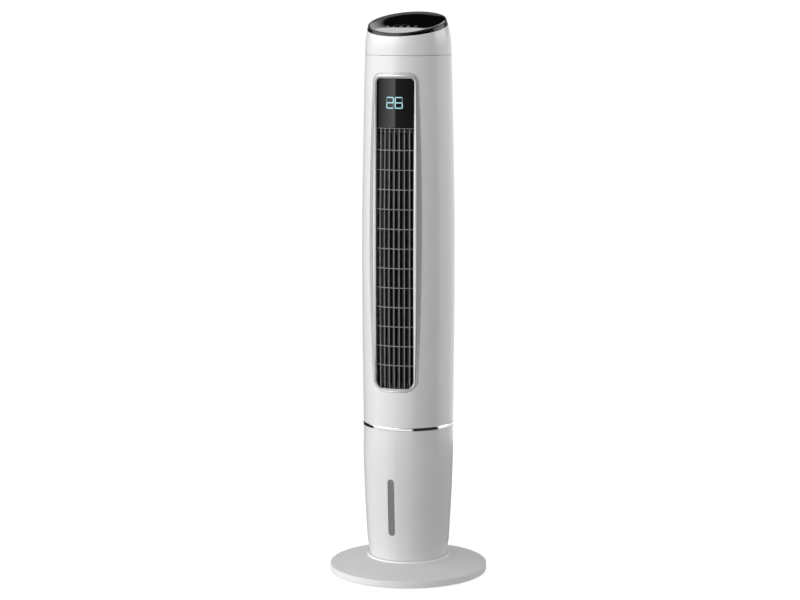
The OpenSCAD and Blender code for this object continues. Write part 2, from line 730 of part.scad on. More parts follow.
base_plate();
base_cover();
ballast_plate();
rubber_feet();
base_screws();
tank_housing();
level_window();
tank_rails();
water_tank();
tank_lid();
tank_panel();
pump();
pump_strainer();
pump_tube();
mid_deck();
cord_gland();
trim_ring();
power_board();
motor_mount();
fan_motor();
motor_shaft();
fan_wheel();
stub_shaft();
fan_bush();
lower_end_plate();
upper_end_plate();
scroll_wall();
vortex_wall();
louver_motor();
louver_1();
louver_2();
louver_3();
louver_4();
louver_5();
louver_6();
louver_7();
louver_link();
front_shell();
rear_shell();
grille_frame();
front_grille();
display_window();
display_board();
display_digits();
cooling_pad();
pad_frame();
water_distributor();
riser_hose();
drip_tray();
rear_grille();
dust_filter();
case_screws();
head_cap();
head_tray();
control_rim();
touch_panel();
control_board();
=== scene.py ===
"""Looks for the tower evaporative cooler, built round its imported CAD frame.

Metres, +Z up, front towards -Y.
"""
import json
import math

import bmesh
import bpy
from mathutils import Matrix, Vector
from mathutils.bvhtree import BVHTree


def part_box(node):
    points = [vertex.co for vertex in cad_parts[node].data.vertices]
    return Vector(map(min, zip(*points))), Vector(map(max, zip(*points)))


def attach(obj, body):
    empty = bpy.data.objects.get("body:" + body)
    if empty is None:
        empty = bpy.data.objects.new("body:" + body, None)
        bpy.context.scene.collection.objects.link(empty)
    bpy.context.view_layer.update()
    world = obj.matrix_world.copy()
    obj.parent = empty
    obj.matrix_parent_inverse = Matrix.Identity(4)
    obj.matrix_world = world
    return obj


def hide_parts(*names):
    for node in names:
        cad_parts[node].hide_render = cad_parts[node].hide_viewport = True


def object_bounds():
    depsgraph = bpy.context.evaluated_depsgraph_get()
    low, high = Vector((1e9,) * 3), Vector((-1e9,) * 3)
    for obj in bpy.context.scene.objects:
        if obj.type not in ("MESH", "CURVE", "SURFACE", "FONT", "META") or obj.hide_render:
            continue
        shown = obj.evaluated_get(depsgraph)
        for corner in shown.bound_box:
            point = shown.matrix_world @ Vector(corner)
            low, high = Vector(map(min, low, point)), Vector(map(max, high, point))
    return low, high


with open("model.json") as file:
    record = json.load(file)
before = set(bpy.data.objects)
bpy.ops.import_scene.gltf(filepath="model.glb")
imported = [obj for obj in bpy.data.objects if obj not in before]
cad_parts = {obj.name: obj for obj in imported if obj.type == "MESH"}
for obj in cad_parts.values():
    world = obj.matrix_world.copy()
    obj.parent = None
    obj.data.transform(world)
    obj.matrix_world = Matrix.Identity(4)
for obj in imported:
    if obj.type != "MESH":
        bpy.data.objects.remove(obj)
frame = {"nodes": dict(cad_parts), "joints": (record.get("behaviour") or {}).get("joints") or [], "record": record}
cad_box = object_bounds()

MM = 0.001
NODES = frame["nodes"]
JOINTS = {joint["name"]: joint for joint in frame["joints"]}
SLOT_OF = {part["node"]: part["material_slot"] for part in frame["record"]["subparts"]}
BODY_OF = {node: body for body, nodes in frame["record"]["behaviour"]["bodies"].items() for node in nodes}

# ---------------------------------------------------------------- camera

CAMERA_AZIMUTH = 19.0
CAMERA_PITCH = 7.5
CAMERA_DISTANCE = 4.18
CAMERA_ABOVE_HEAD = 0.053
CAMERA_LENS = 100.0
CAMERA_SHIFT = (-0.0104, -0.0303)


def new_object(name, data):
    """A new object in the scene."""
    made = bpy.data.objects.new(name, data)
    bpy.context.scene.collection.objects.link(made)
    return made


def make_camera():
    data = bpy.data.cameras.new("camera")
    data.sensor_width = 36.0
    data.lens = CAMERA_LENS
    data.shift_x, data.shift_y = CAMERA_SHIFT
    camera = new_object("camera", data)
    a, e = math.radians(CAMERA_AZIMUTH), math.radians(CAMERA_PITCH)
    back = Vector((math.sin(a) * math.cos(e), -math.cos(a) * math.cos(e), math.sin(e)))
    camera.rotation_mode = "QUATERNION"
    camera.rotation_quaternion = (-back).to_track_quat("-Z", "Y")
    height = cad_box[1].z + CAMERA_ABOVE_HEAD
    camera.location = (math.sin(a) * CAMERA_DISTANCE, -math.cos(a) * CAMERA_DISTANCE, height)
    bpy.context.scene.camera = camera


# ---------------------------------------------------------------- studio

def set_ramp(ramp, stops):
    """Sets a colour ramp from (position, grey) stops."""
    elements = ramp.elements
    while len(elements) > 1:
        elements.remove(elements[-1])
    for i, (position, grey) in enumerate(stops):
        element = elements[0] if i == 0 else elements.new(position)
        element.position = position
        element.color = (grey, grey, grey, 1)


# Soft boxes and dark flags round the object, in rings from the floor up. Each ring has the angles above
# level between which it takes over, and (degrees from the front towards +X, radiance) all the way round.
RINGS = [
    ((-90, -89), [
        (-180, 1.0), (-143, 1.0), (-138, 0.02), (-83, 0.02), (-77, 1.1), (26, 1.1), (32, 0.02),
        (99, 0.02), (104, 1.2), (179.9, 1.0)]),
    ((-8, -6), [
        (-180, 1.0), (-143, 1.0), (-138, 0.05), (-89, 0.03), (-84, 0.08), (-73, 0.2), (-19, 1.8), (-15, 0.2),
        (28, 0.12), (34, 0.02), (99, 0.02), (104, 1.2), (179.9, 1.0)]),
    ((4, 8), [
        (-180, 0.25), (-153, 0.25), (-147, 0.03), (-104, 0.03), (-98, 1.4), (-75, 3.8), (-12, 3.8), (0, 1.2),
        (30, 0.2), (40, 0.02), (94, 0.02), (102, 3.0), (135, 3.0), (150, 0.2), (179.9, 0.2)]),
    ((26.9, 27.7), [
        (-180, 0.0), (-157.5, 0.0), (-156, 1.0), (-152, 1.2), (-148, 1.0), (-144, 0.0), (-104, 0.05),
        (-98, 1.4), (-75, 3.5), (-12, 3.5), (0, 1.2), (30, 0.2), (40, 0.02), (110, 0.02), (179.9, 0.0)]),
    ((32.2, 33.5), [
        (-180, 2.3), (-130, 2.3), (-120, 0.8), (-60, 1.6), (-10, 1.6), (10, 0.8), (60, 0.3), (110, 0.3),
        (130, 2.3), (179.9, 2.3)]),
    ((42, 46), [
        (-180, 0.2), (-120, 0.2), (-60, 0.3), (0, 0.5), (60, 0.65), (120, 0.65), (179.9, 0.2)]),
]
BRIGHTEST = 6.0
BACKDROP = 1.1


def make_studio():
    """A world whose light comes from rings of soft boxes. The camera sees it white."""
    world = bpy.data.worlds.new("studio")
    bpy.context.scene.world = world
    world.use_nodes = True
    nodes, links = world.node_tree.nodes, world.node_tree.links
    nodes.clear()
    output = nodes.new("ShaderNodeOutputWorld")
    background = nodes.new("ShaderNodeBackground")
    background.inputs["Strength"].default_value = BRIGHTEST
    links.new(background.outputs[0], output.inputs[0])
    direction = nodes.new("ShaderNodeTexCoord")
    turn = nodes.new("ShaderNodeMapping")
    turn.inputs["Rotation"].default_value = (0, 0, math.radians(90))
    links.new(direction.outputs["Generated"], turn.inputs[0])
    round_z = nodes.new("ShaderNodeTexGradient")
    round_z.gradient_type = "RADIAL"
    links.new(turn.outputs[0], round_z.inputs[0])
    split = nodes.new("ShaderNodeSeparateXYZ")
    links.new(direction.outputs["Generated"], split.inputs[0])

    def ring(stops):
        ramp = nodes.new("ShaderNodeValToRGB")
        set_ramp(ramp.color_ramp, [(((a + 180) % 360) / 360, r / BRIGHTEST) for a, r in stops])
        links.new(round_z.outputs["Fac"], ramp.inputs[0])
        return ramp.outputs[0]

    def blend(share, first, second):
        mix = nodes.new("ShaderNodeMix")
        mix.data_type = "RGBA"
        links.new(share, mix.inputs["Factor"])
        links.new(first, mix.inputs["A"])
        links.new(second, mix.inputs["B"])
        return mix.outputs["Result"]

    def above(degrees):
        height = nodes.new("ShaderNodeMapRange")
        for socket, angle in zip(("From Min", "From Max"), degrees):
            height.inputs[socket].default_value = math.sin(math.radians(angle))
        links.new(split.outputs["Z"], height.inputs["Value"])
        return height.outputs[0]

    light = ring(RINGS[0][1])
    for start, stops in RINGS[1:]:
        light = blend(above(start), light, ring(stops))
    seen = nodes.new("ShaderNodeLightPath")
    white = nodes.new("ShaderNodeMix")
    white.data_type = "RGBA"
    white.inputs["B"].default_value = (BACKDROP / BRIGHTEST,) * 3 + (1,)
    links.new(seen.outputs["Is Camera Ray"], white.inputs["Factor"])
    links.new(light, white.inputs["A"])
    links.new(white.outputs["Result"], background.inputs["Color"])
    bpy.context.scene.view_settings.view_transform = "Standard"


FLOOR_GREY = (0.3, 0.3, 0.3)
FLOOR_GLOW = (0.8, 0.8, 0.8, 1)
FLOOR_RADIUS = 1.2


def make_floor():
    """A round sheet of pale paper that glows for the camera only."""
    bm = bmesh.new()
    bmesh.ops.create_circle(bm, cap_ends=True, radius=FLOOR_RADIUS, segments=128)
    mesh = bpy.data.meshes.new("floor")
    bm.to_mesh(mesh)
    bm.free()
    floor = new_object("floor", mesh)
    material, shader = principled("floor_paper", FLOOR_GREY, 0.9, Emission_Color=FLOOR_GLOW)
    seen = material.node_tree.nodes.new("ShaderNodeLightPath")
    material.node_tree.links.new(seen.outputs["Is Camera Ray"], shader.inputs["Emission Strength"])
    speckle(material, shader, FLOOR_GREY, 0.01, 60)
    floor.data.materials.append(material)


# ---------------------------------------------------------------- material helpers

NOISE_LOW, NOISE_HIGH = 0.3, 0.7  # nearly all values of Blender's noise lie between these
EVEN = (1, 1, 1)


def principled(name, colour, roughness, **sockets):
    """A new material and its Principled shader. In the names of sockets, _ stands for a space."""
    material = bpy.data.materials.new(name)
    material.use_nodes = True
    shader = material.node_tree.nodes["Principled BSDF"]
    shader.inputs["Base Color"].default_value = (*colour, 1)
    shader.inputs["Roughness"].default_value = roughness
    for socket, value in sockets.items():
        shader.inputs[socket.replace("_", " ")].default_value = value
    return material, shader


def coordinates(material):
    """The material's object coordinates, in metres."""
    nodes = material.node_tree.nodes
    found = [node for node in nodes if node.type == "TEX_COORD"] or [nodes.new("ShaderNodeTexCoord")]
    return found[0].outputs["Object"]


def noise(material, scale, detail=3.0, stretch=EVEN):
    """Noise with a period of about 1/scale metres, drawn out along an axis where stretch is below 1."""
    tree = material.node_tree
    mapping = tree.nodes.new("ShaderNodeMapping")
    mapping.inputs["Scale"].default_value = stretch
    tree.links.new(coordinates(material), mapping.inputs[0])
    texture = tree.nodes.new("ShaderNodeTexNoise")
    texture.inputs["Scale"].default_value = scale
    texture.inputs["Detail"].default_value = detail
    tree.links.new(mapping.outputs[0], texture.inputs["Vector"])
    return texture.outputs["Fac"]


def two_colours(material, shader, value, low, high):
    tree = material.node_tree
    ramp = tree.nodes.new("ShaderNodeValToRGB")
    for element, position, colour in zip(ramp.color_ramp.elements, (NOISE_LOW, NOISE_HIGH), (low, high)):
        element.position = position
        element.color = (*colour, 1)
    tree.links.new(value, ramp.inputs[0])
    tree.links.new(ramp.outputs[0], shader.inputs["Base Color"])


def speckle(material, shader, colour, spread, scale):
    """The colour varies by a share of itself in soft patches."""
    low = tuple(c * (1 - spread) for c in colour)
    high = tuple(min(1, c * (1 + spread)) for c in colour)
    two_colours(material, shader, noise(material, scale), low, high)


def bump(material, shader, value, strength, depth):
    tree = material.node_tree
    node = tree.nodes.new("ShaderNodeBump")
    node.inputs["Strength"].default_value = strength
    node.inputs["Distance"].default_value = depth * MM
    tree.links.new(value, node.inputs["Height"])
    tree.links.new(node.outputs[0], shader.inputs["Normal"])


def vary_roughness(material, shader, scale, low, high, stretch=EVEN):
    """Roughness drifts from low to high in patches."""
    tree = material.node_tree
    node = tree.nodes.new("ShaderNodeMapRange")
    settings = {"From Min": NOISE_LOW, "From Max": NOISE_HIGH, "To Min": low, "To Max": high}
    for socket, limit in settings.items():
        node.inputs[socket].default_value = limit
    tree.links.new(noise(material, scale, 4, stretch), node.inputs["Value"])
    tree.links.new(node.outputs[0], shader.inputs["Roughness"])


def plain_finish(name, colour, roughness, patches, dull_scale, grain=None, stretch=EVEN, **sockets):
    """A surface of one colour, with soft patches in it, duller places, and a fine grain.

    roughness is its lowest and highest. patches is the share by which the colour varies and the scale
    of that noise. dull_scale is the scale of the duller places. grain is scale, detail, strength and
    depth in mm. stretch draws the dull places and the grain out.
    """
    material, shader = principled(name, colour, roughness[0], **sockets)
    speckle(material, shader, colour, *patches)
    vary_roughness(material, shader, dull_scale, *roughness, stretch)
    if grain:
        scale, detail, strength, depth = grain
        bump(material, shader, noise(material, scale, detail, stretch), strength, depth)
    return material


# ---------------------------------------------------------------- plain materials

def grey(level):
    return (level, level, level)


def casing_white():
    """Gloss white ABS: faint orange peel and a few dull touches under a thin lacquer."""
    return plain_finish("casing_white", (0.79, 0.79, 0.80), (0.16, 0.27), (0.012, 14), 35,
                        (420, 1, 0.05, 0.05), Coat_Weight=0.35, Coat_Roughness=0.06)


def chrome(name, level, roughness, metallic):
    """Plating, bright or satin."""
    return plain_finish(name, (level, level, level + 0.01), roughness, (0.03, 40), 120,
                        (260, 1, 0.04, 0.05), Metallic=metallic)


def black_gloss():
    """Piano black plastic with a thin lacquer."""
    return plain_finish("piano_black", (0.004, 0.004, 0.0045), (0.012, 0.03), (0.25, 30), 60,
                        (300, 1, 0.006, 0.04), Coat_Weight=0.2, Coat_Roughness=0.01)


def rim_black():
    """Black moulding round the glass, less glossy than the glass."""
    return plain_finish("rim_black", grey(0.006), (0.12, 0.2), (0.25, 40), 80,
                        (500, 1, 0.04, 0.05), Specular_IOR_Level=0.32)


def grille_grey():
    """Finely textured grey moulding."""
    return plain_finish("grille_grey", grey(0.27), (0.28, 0.42), (0.08, 55), 150, (1600, 2, 0.12, 0.06))


def blade_grey():
    """The louvers' darker grey."""
    return plain_finish("blade_grey", grey(0.085), (0.34, 0.5), (0.1, 30), 120, (1500, 2, 0.12, 0.06))


def dark_plastic():
    """Spark-eroded black moulding."""
    return plain_finish("moulded_black", (0.02, 0.02, 0.021), (0.45, 0.65), (0.25, 80), 200,
                        (2200, 3, 0.3, 0.08))


def tank_plastic():
    """Natural polypropylene, milky and a little clear."""
    return plain_finish("tank_natural", (0.72, 0.78, 0.82), (0.28, 0.45), (0.05, 18), 60,
                        (500, 2, 0.1, 0.08), Transmission_Weight=0.35, IOR=1.49)


def white_inner():
    """Dull white moulding of the inner parts."""
    return plain_finish("moulded_white", (0.68, 0.68, 0.67), (0.42, 0.6), (0.05, 40), 120,
                        (1200, 2, 0.15, 0.06))


def rubber_black():
    """Dusty black rubber."""
    return plain_finish("rubber_black", grey(0.014), (0.62, 0.9), (0.4, 300), 250, (1800, 3, 0.35, 0.1))


def steel():
    """Turned steel with fine marks round its length."""
    return plain_finish("plain_steel", (0.5, 0.5, 0.51), (0.22, 0.42), (0.08, 60), 900,
                        (1500, 2, 0.1, 0.04), (0.15, 0.15, 1), Metallic=1.0)


def motor_metal():
    """Cast aluminium with a coarse skin."""
    return plain_finish("cast_aluminium", (0.52, 0.52, 0.54), (0.38, 0.6), (0.12, 70), 300,
                        (1100, 3, 0.3, 0.1), Metallic=0.9)


def led(name, level, glow):
    """Cyan light segment: level scales its colour, glow its own light."""
    return plain_finish(name, (0.16 * level, 0.3 * level, 0.33 * level), (0.2, 0.4), (0.05, 200), 300,
                        Emission_Color=(0.30, 0.52, 0.56, 1), Emission_Strength=glow)


def key_print():
    """Pale grey ink of the touch keys."""
    return plain_finish("key_print", grey(0.42), (0.2, 0.4), (0.15, 500), 400)


# ---------------------------------------------------------------- patterned materials

def base_white_painted_side_light():
    """Base moulding with painted light: its upright sides are painted whiter than its top, by the way that the
    surface faces, in place of the light that falls on its edge.
    """
    material, shader = principled("base_white_painted_side_light", (0.62, 0.62, 0.63), 0.5)
    tree = material.node_tree
    geometry = tree.nodes.new("ShaderNodeNewGeometry")
    parts = tree.nodes.new("ShaderNodeSeparateXYZ")
    tree.links.new(geometry.outputs["Normal"], parts.inputs[0])
    # Painted light: upright faces get the whiter colour and the top the duller one, chosen by the surface's
    # normal.
    two_colours(material, shader, parts.outputs[2], (0.9, 0.9, 0.9), (0.62, 0.62, 0.63))
    vary_roughness(material, shader, 35, 0.45, 0.55)
    bump(material, shader, noise(material, 420, 1), 0.05, 0.05)
    return material


def smoked_window():
    """Grey translucent plastic, darker in streaks where it was gated."""
    material, shader = principled("window_grey", grey(0.2), 0.22, Coat_Weight=0.5, Coat_Roughness=0.08)
    streaks = noise(material, 25, 2, (1, 1, 0.2))
    two_colours(material, shader, streaks, (0.20, 0.20, 0.197), (0.25, 0.25, 0.245))
    vary_roughness(material, shader, 90, 0.16, 0.3)
    bump(material, shader, noise(material, 700, 2), 0.08, 0.05)
    return material


def circuit_board():
    """Green solder mask with a hint of the copper tracks under it."""
    material, shader = principled("circuit_green", (0.02, 0.13, 0.05), 0.3)
    tree = material.node_tree
    tracks = tree.nodes.new("ShaderNodeTexBrick")
    tracks.inputs["Scale"].default_value = 90
    tracks.inputs["Mortar Size"].default_value = 0.03
    tracks.inputs["Color1"].default_value = (0.015, 0.11, 0.04, 1)
    tracks.inputs["Color2"].default_value = (0.02, 0.15, 0.055, 1)
    tracks.inputs["Mortar"].default_value = (0.06, 0.24, 0.08, 1)
    tree.links.new(coordinates(material), tracks.inputs["Vector"])
    tree.links.new(tracks.outputs["Color"], shader.inputs["Base Color"])
    vary_roughness(material, shader, 200, 0.22, 0.38)
    bump(material, shader, tracks.outputs["Fac"], 0.3, 0.04)
    return material


def pad_paper():
    """Resin-dipped cellulose with long fibres."""
    material, shader = principled("pad_cellulose", (0.3, 0.18, 0.08), 0.85)
    fibres = noise(material, 160, 5, (1, 1, 0.3))
    two_colours(material, shader, fibres, (0.20, 0.115, 0.05), (0.40, 0.26, 0.13))
    vary_roughness(material, shader, 200, 0.75, 0.95)
    bump(material, shader, noise(material, 900, 4, (1, 1, 0.25)), 0.5, 0.2)
    return material


def filter_mesh():
    """Woven nylon: two sets of fine threads that cross."""
    material, shader = principled("filter_weave", (0.05, 0.05, 0.055), 0.7)
    tree = material.node_tree
    weave = tree.nodes.new("ShaderNodeMath")
    weave.operation = "MAXIMUM"
    for i, direction in enumerate("XZ"):
        wave = tree.nodes.new("ShaderNodeTexWave")
        wave.bands_direction = direction
        wave.inputs["Scale"].default_value = 190
        wave.inputs["Distortion"].default_value = 0.4
        tree.links.new(coordinates(material), wave.inputs["Vector"])
        tree.links.new(wave.outputs["Fac"], weave.inputs[i])
    two_colours(material, shader, weave.outputs[0], (0.006, 0.006, 0.007), (0.075, 0.075, 0.08))
    vary_roughness(material, shader, 300, 0.6, 0.85)
    bump(material, shader, weave.outputs[0], 0.6, 0.2)
    return material


MATERIALS = {
    "white_casing": casing_white(),
    "chrome_trim": chrome("chrome_plate", 0.80, (0.04, 0.09), 1.0),
    "black_gloss": black_gloss(),
    "smoked_window": smoked_window(),
    "grey_grille": grille_grey(),
    "dark_plastic": dark_plastic(),
    "tank_plastic": tank_plastic(),
    "white_inner": white_inner(),
    "rubber_black": rubber_black(),
    "steel": steel(),
    "motor_metal": motor_metal(),
    "circuit_board": circuit_board(),
    "led_cyan": led("led_cyan", 1.0, 1.0),
    "pad_paper": pad_paper(),
    "filter_mesh": filter_mesh(),
}
BLADE_GREY = blade_grey()
KEY_PRINT = key_print()
SATIN_CHROME = chrome("satin_chrome", 0.66, (0.2, 0.27), 0.5)
RIM_BLACK = rim_black()
LED_FAINT = led("led_faint", 0.4, 0.2)
BASE_PAINTED_SIDE_LIGHT = base_white_painted_side_light()


def dress_cad_nodes():
    """Every CAD node gets its slot's material."""
    for node, slot in SLOT_OF.items():
        materials = NODES[node].data.materials
        for i in range(len(materials)):
            materials[i] = MATERIALS[slot]
        if not len(materials):
            materials.append(MATERIALS[slot])


# ---------------------------------------------------------------- mesh helpers

WELD = 2e-6


def shape(name, vertices, faces):
    mesh = bpy.data.meshes.new(name)
    mesh.from_pydata([tuple(v) for v in vertices], [], faces)
    return new_object(name, mesh)


def grid(name, rows, close_rows=False, close_columns=False, caps=False, skip=None):
    """A surface through rows of points. Rows run upwards and each goes to the right, seen from outside."""
    width, height = len(rows[0]), len(rows)
    faces = []
    for i in range(height if close_rows else height - 1):
        for j in range(width if close_columns else width - 1):
            if skip and skip(i, j):
                continue
            k, m = (i + 1) % height, (j + 1) % width
            faces.append((i * width + j, i * width + m, k * width + m, k * width + j))
    if caps:
        faces.append(list(reversed(range(width))))
        faces.append([(height - 1) * width + j for j in range(width)])
    return shape(name, [p for row in rows for p in row], faces)


def weld(piece, outwards=False):
    """Merges doubled points, drops loose ones, and where asked turns all faces outwards."""
    bm = bmesh.new()
    bm.from_mesh(piece.data)
    bmesh.ops.remove_doubles(bm, verts=bm.verts, dist=WELD)
    bmesh.ops.delete(bm, geom=[v for v in bm.verts if not v.link_faces], context="VERTS")
    if outwards:
        bmesh.ops.recalc_face_normals(bm, faces=bm.faces)
    bm.to_mesh(piece.data)
    bm.free()


def solid(name, rows, close_rows=False, caps=True):
    """A closed form through loops of points, with its faces outwards."""
    piece = grid(name, rows, close_rows, True, caps)
    weld(piece, outwards=True)
    return piece


def hoop(name, rows):
    """A closed form whose rows form a loop as well."""
    return solid(name, rows, close_rows=True, caps=False)


def modify(piece, kind, **settings):
    """Adds a modifier and applies it to the mesh."""
    modifier = piece.modifiers.new(kind.lower(), kind)
    for key, value in settings.items():
        setattr(modifier, key, value)
    graph = bpy.context.evaluated_depsgraph_get()
    graph.update()
    mesh = bpy.data.meshes.new_from_object(piece.evaluated_get(graph))
    piece.modifiers.clear()
    piece.data = mesh


def thicken(piece, wall_thickness):
    """Gives an outer surface a wall on its inner side."""
    modify(piece, "SOLIDIFY", thickness=wall_thickness, offset=-1, use_even_offset=True)


def cut(piece, cutter):
    """Takes the cutter's shape out of the piece."""
    modify(piece, "BOOLEAN", object=cutter, operation="DIFFERENCE", solver="EXACT")
    bpy.data.objects.remove(cutter)


def finish_piece(piece, node, round_by=0.0, angle=35, material=None):
    """Rounds the piece's edges, sets its shading and material, and lets it stand for its CAD node."""
    if round_by:
        modify(piece, "BEVEL", width=round_by, segments=3, limit_method="ANGLE", angle_limit=math.radians(50))
    for polygon in piece.data.polygons:
        polygon.use_smooth = True
    piece.data.set_sharp_from_angle(angle=math.radians(angle))
    modify(piece, "WEIGHTED_NORMAL", keep_sharp=True)
    piece.data.materials.clear()
    piece.data.materials.append(material or MATERIALS[SLOT_OF[node]])
    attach(piece, BODY_OF[node])
    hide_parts(node)


def joined(name, pieces):
    """One piece made of several."""
    bm = bmesh.new()
    for piece in pieces:
        bm.from_mesh(piece.data)
        bpy.data.objects.remove(piece)
    mesh = bpy.data.meshes.new(name)
    bm.to_mesh(mesh)
    bm.free()
    return new_object(name, mesh)


def refine(node):
    """A copy of a CAD node's mesh with its edges rounded."""
    mesh = NODES[node].data
    faces = [tuple(polygon.vertices) for polygon in mesh.polygons]
    piece = shape(node + "_moulded", [vertex.co for vertex in mesh.vertices], faces)
    weld(piece)
    modify(piece, "DECIMATE", decimate_type="DISSOLVE", angle_limit=math.radians(1))
    finish_piece(piece, node, round_by=0.4 * MM)


def steps(a, b, n):
    """The n + 1 values that lead from a to b in even steps."""
    return [a + (b - a) * i / n for i in range(n + 1)]


def spread(points, step):
    """The points with others between them, no more than a step apart."""
    filled = [points[0]]
    for a, b in zip(points, points[1:]):
        filled += steps(a, b, max(1, math.ceil(abs(b - a) / step)))[1:]
    return filled


def at(values, wanted):
    """Index of the value nearest to the one wanted."""
    return min(range(len(values)), key=lambda i: abs(values[i] - wanted))


def all_round(count):
    """Angles of columns all the way round."""
    return [360 * j / count for j in range(count)]


def arc(cx, cz, r, a0, a1, n):
    """Points on a circle from one angle to another."""
    turns = [math.radians(a) for a in steps(a0, a1, n)]
    return [(cx + r * math.cos(a), cz + r * math.sin(a)) for a in turns]


def polar(r, degrees, z):
    """A point at an angle from the front towards +X."""
    a = math.radians(degrees)
    return Vector((r * math.sin(a), -r * math.cos(a), z))


def angle_at(x, r):
    """The angle at which a circle of radius r is x away from its middle line."""
    return math.degrees(math.asin(x / r))


def on_round(r, x, z, middle=0):
    """The point of a casing of radius r that is x to the side of a middle angle."""
    return polar(r, middle + angle_at(x, r), z)


def lathe(name, profile, segments, closed=True):
    """Turns a profile of (radius, height) round the Z axis. The profile runs up the outside."""
    rows = [[polar(r, a, z) for a in all_round(segments)] for r, z in profile]
    return hoop(name, rows) if closed else solid(name, rows, caps=False)


def rod(name, y, z0, z1, r):
    """A closed upright rod with chamfered ends."""
    rim = 0.2 * MM
    profile = [(0, z0), (r - rim, z0), (r, z0 + rim), (r, z1 - rim), (r - rim, z1), (0, z1)]
    piece = lathe(name, profile, 24, closed=False)
    piece.data.transform(Matrix.Translation((0, y, 0)))
    return piece


def block(name, low, high):
    """A box with its edges ready to be rounded."""
    xs, ys, zs = zip(low, high)
    corners = [(x, y, z) for z in zs for y in ys for x in xs]
    faces = [(0, 2, 3, 1), (4, 5, 7, 6), (0, 1, 5, 4), (2, 6, 7, 3), (0, 4, 6, 2), (1, 3, 7, 5)]
    return shape(name, corners, faces)


# ---------------------------------------------------------------- outlines read from the frame

TREES = {}
SKIN = 0.2 * MM
BEYOND = 0.3  # a radius that lies outside the whole object


def surface_radius(node, z, degrees):
    """Radius of a CAD node's outer face at a height and an angle from the front."""
    if node not in TREES:
        mesh = NODES[node].data
        TREES[node] = BVHTree.FromPolygons([v.co for v in mesh.vertices], [p.vertices for p in mesh.polygons])
    outside = polar(BEYOND, degrees, z)
    hit = TREES[node].ray_cast(outside, Vector((-outside.x, -outside.y, 0)).normalized())[0]
    return math.hypot(hit.x, hit.y)


def measured(node, degrees, low, high, count):
    """(height, radius) samples up a node's outer face."""
    return [(z, surface_radius(node, z, degrees)) for z in steps(low, high, count)]


def outline_of(samples):
    """Smooth radius by height through (height, radius) samples."""
    def radius(z):
        z = min(max(z, samples[0][0]), samples[-1][0])
        i = max(k for k in range(len(samples) - 1) if samples[k][0] <= z)
        before, after = max(i - 1, 0), min(i + 2, len(samples) - 1)
        (z0, r0), (z1, r1) = samples[i], samples[i + 1]
        slope0 = (r1 - samples[before][1]) / (z1 - samples[before][0])
        slope1 = (samples[after][1] - r0) / (samples[after][0] - z0)
        t, span = (z - z0) / (z1 - z0), z1 - z0
        return ((2 * t**3 - 3 * t**2 + 1) * r0 + (t**3 - 2 * t**2 + t) * span * slope0
                + (3 * t**2 - 2 * t**3) * r1 + (t**3 - t**2) * span * slope1)
    return radius


def low_high(node):
    low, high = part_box(node)
    return low.z, high.z

SHELL_LOW, SHELL_HIGH = low_high("front_shell")
HOUSING_LOW, HOUSING_HIGH = low_high("tank_housing")
FRAME_LOW, FRAME_HIGH = low_high("grille_frame")
HEAD_SEAM, HEAD_HIGH = SHELL_HIGH + 0.6 * MM, low_high("head_cap")[1]
RIM_HIGH = low_high("control_rim")[1]
upper_r = outline_of(measured("front_shell", 90, SHELL_LOW + SKIN, SHELL_HIGH - SKIN, 22))
lower_r = outline_of(measured("tank_housing", 90, HOUSING_LOW + SKIN, HOUSING_HIGH - SKIN, 40))
head_r = outline_of(measured("head_cap", 180, HEAD_SEAM + SKIN, HEAD_HIGH - SKIN, 9)
                    + measured("control_rim", 180, HEAD_HIGH + 1.5 * MM, RIM_HIGH - SKIN, 2))


class Slant:
    """The slanted top plane of a head part, low at the front."""

    def __init__(self, node):
        points = [v.co for v in NODES[node].data.vertices]
        rear = max(points, key=lambda p: p.z)
        front_y = min(p.y for p in points)
        near_front = [p for p in points if p.y < front_y + 3 * MM and abs(p.x) < 12 * MM]
        front = max(near_front, key=lambda p: p.z)
        self.slope = (rear.z - front.z) / (rear.y - front.y)
        self.axis_z = rear.z - rear.y * self.slope

    def height(self, y):
        return self.axis_z + self.slope * y


HEAD_TOP = Slant("head_cap")
RIM_TOP = Slant("control_rim")


def on_slant(plane, degrees, inset, sink=0.0):
    """The point of a slanted plane that lies an inset inside the head's outline."""
    z = plane.axis_z
    for _ in range(8):
        z = plane.height(-(head_r(z) - inset) * math.cos(math.radians(degrees)))
    return polar(head_r(z) - inset, degrees, z - sink)


# ---------------------------------------------------------------- walls with openings

CASING_WALL = 2.6 * MM


def rounded(x, z, half_w, half_h, r):
    """Moves a point of a rectangle's edge onto its rounded corner."""
    cx, cz = half_w - r, half_h - r
    if abs(x) <= cx or abs(z) <= cz:
        return x, z
    dx, dz = abs(x) - cx, abs(z) - cz
    length = math.hypot(dx, dz)
    return math.copysign(cx + r * dx / length, x), math.copysign(cz + r * dz / length, z)


def edge_of(i0, i1, j0, j1):
    """The (row, column) pairs round a rectangle of a grid."""
    edge = [(i0, j) for j in range(j0, j1)] + [(i, j1) for i in range(i0, i1)]
    return edge + [(i1, j) for j in range(j1, j0, -1)] + [(i, j0) for i in range(i1, i0, -1)]


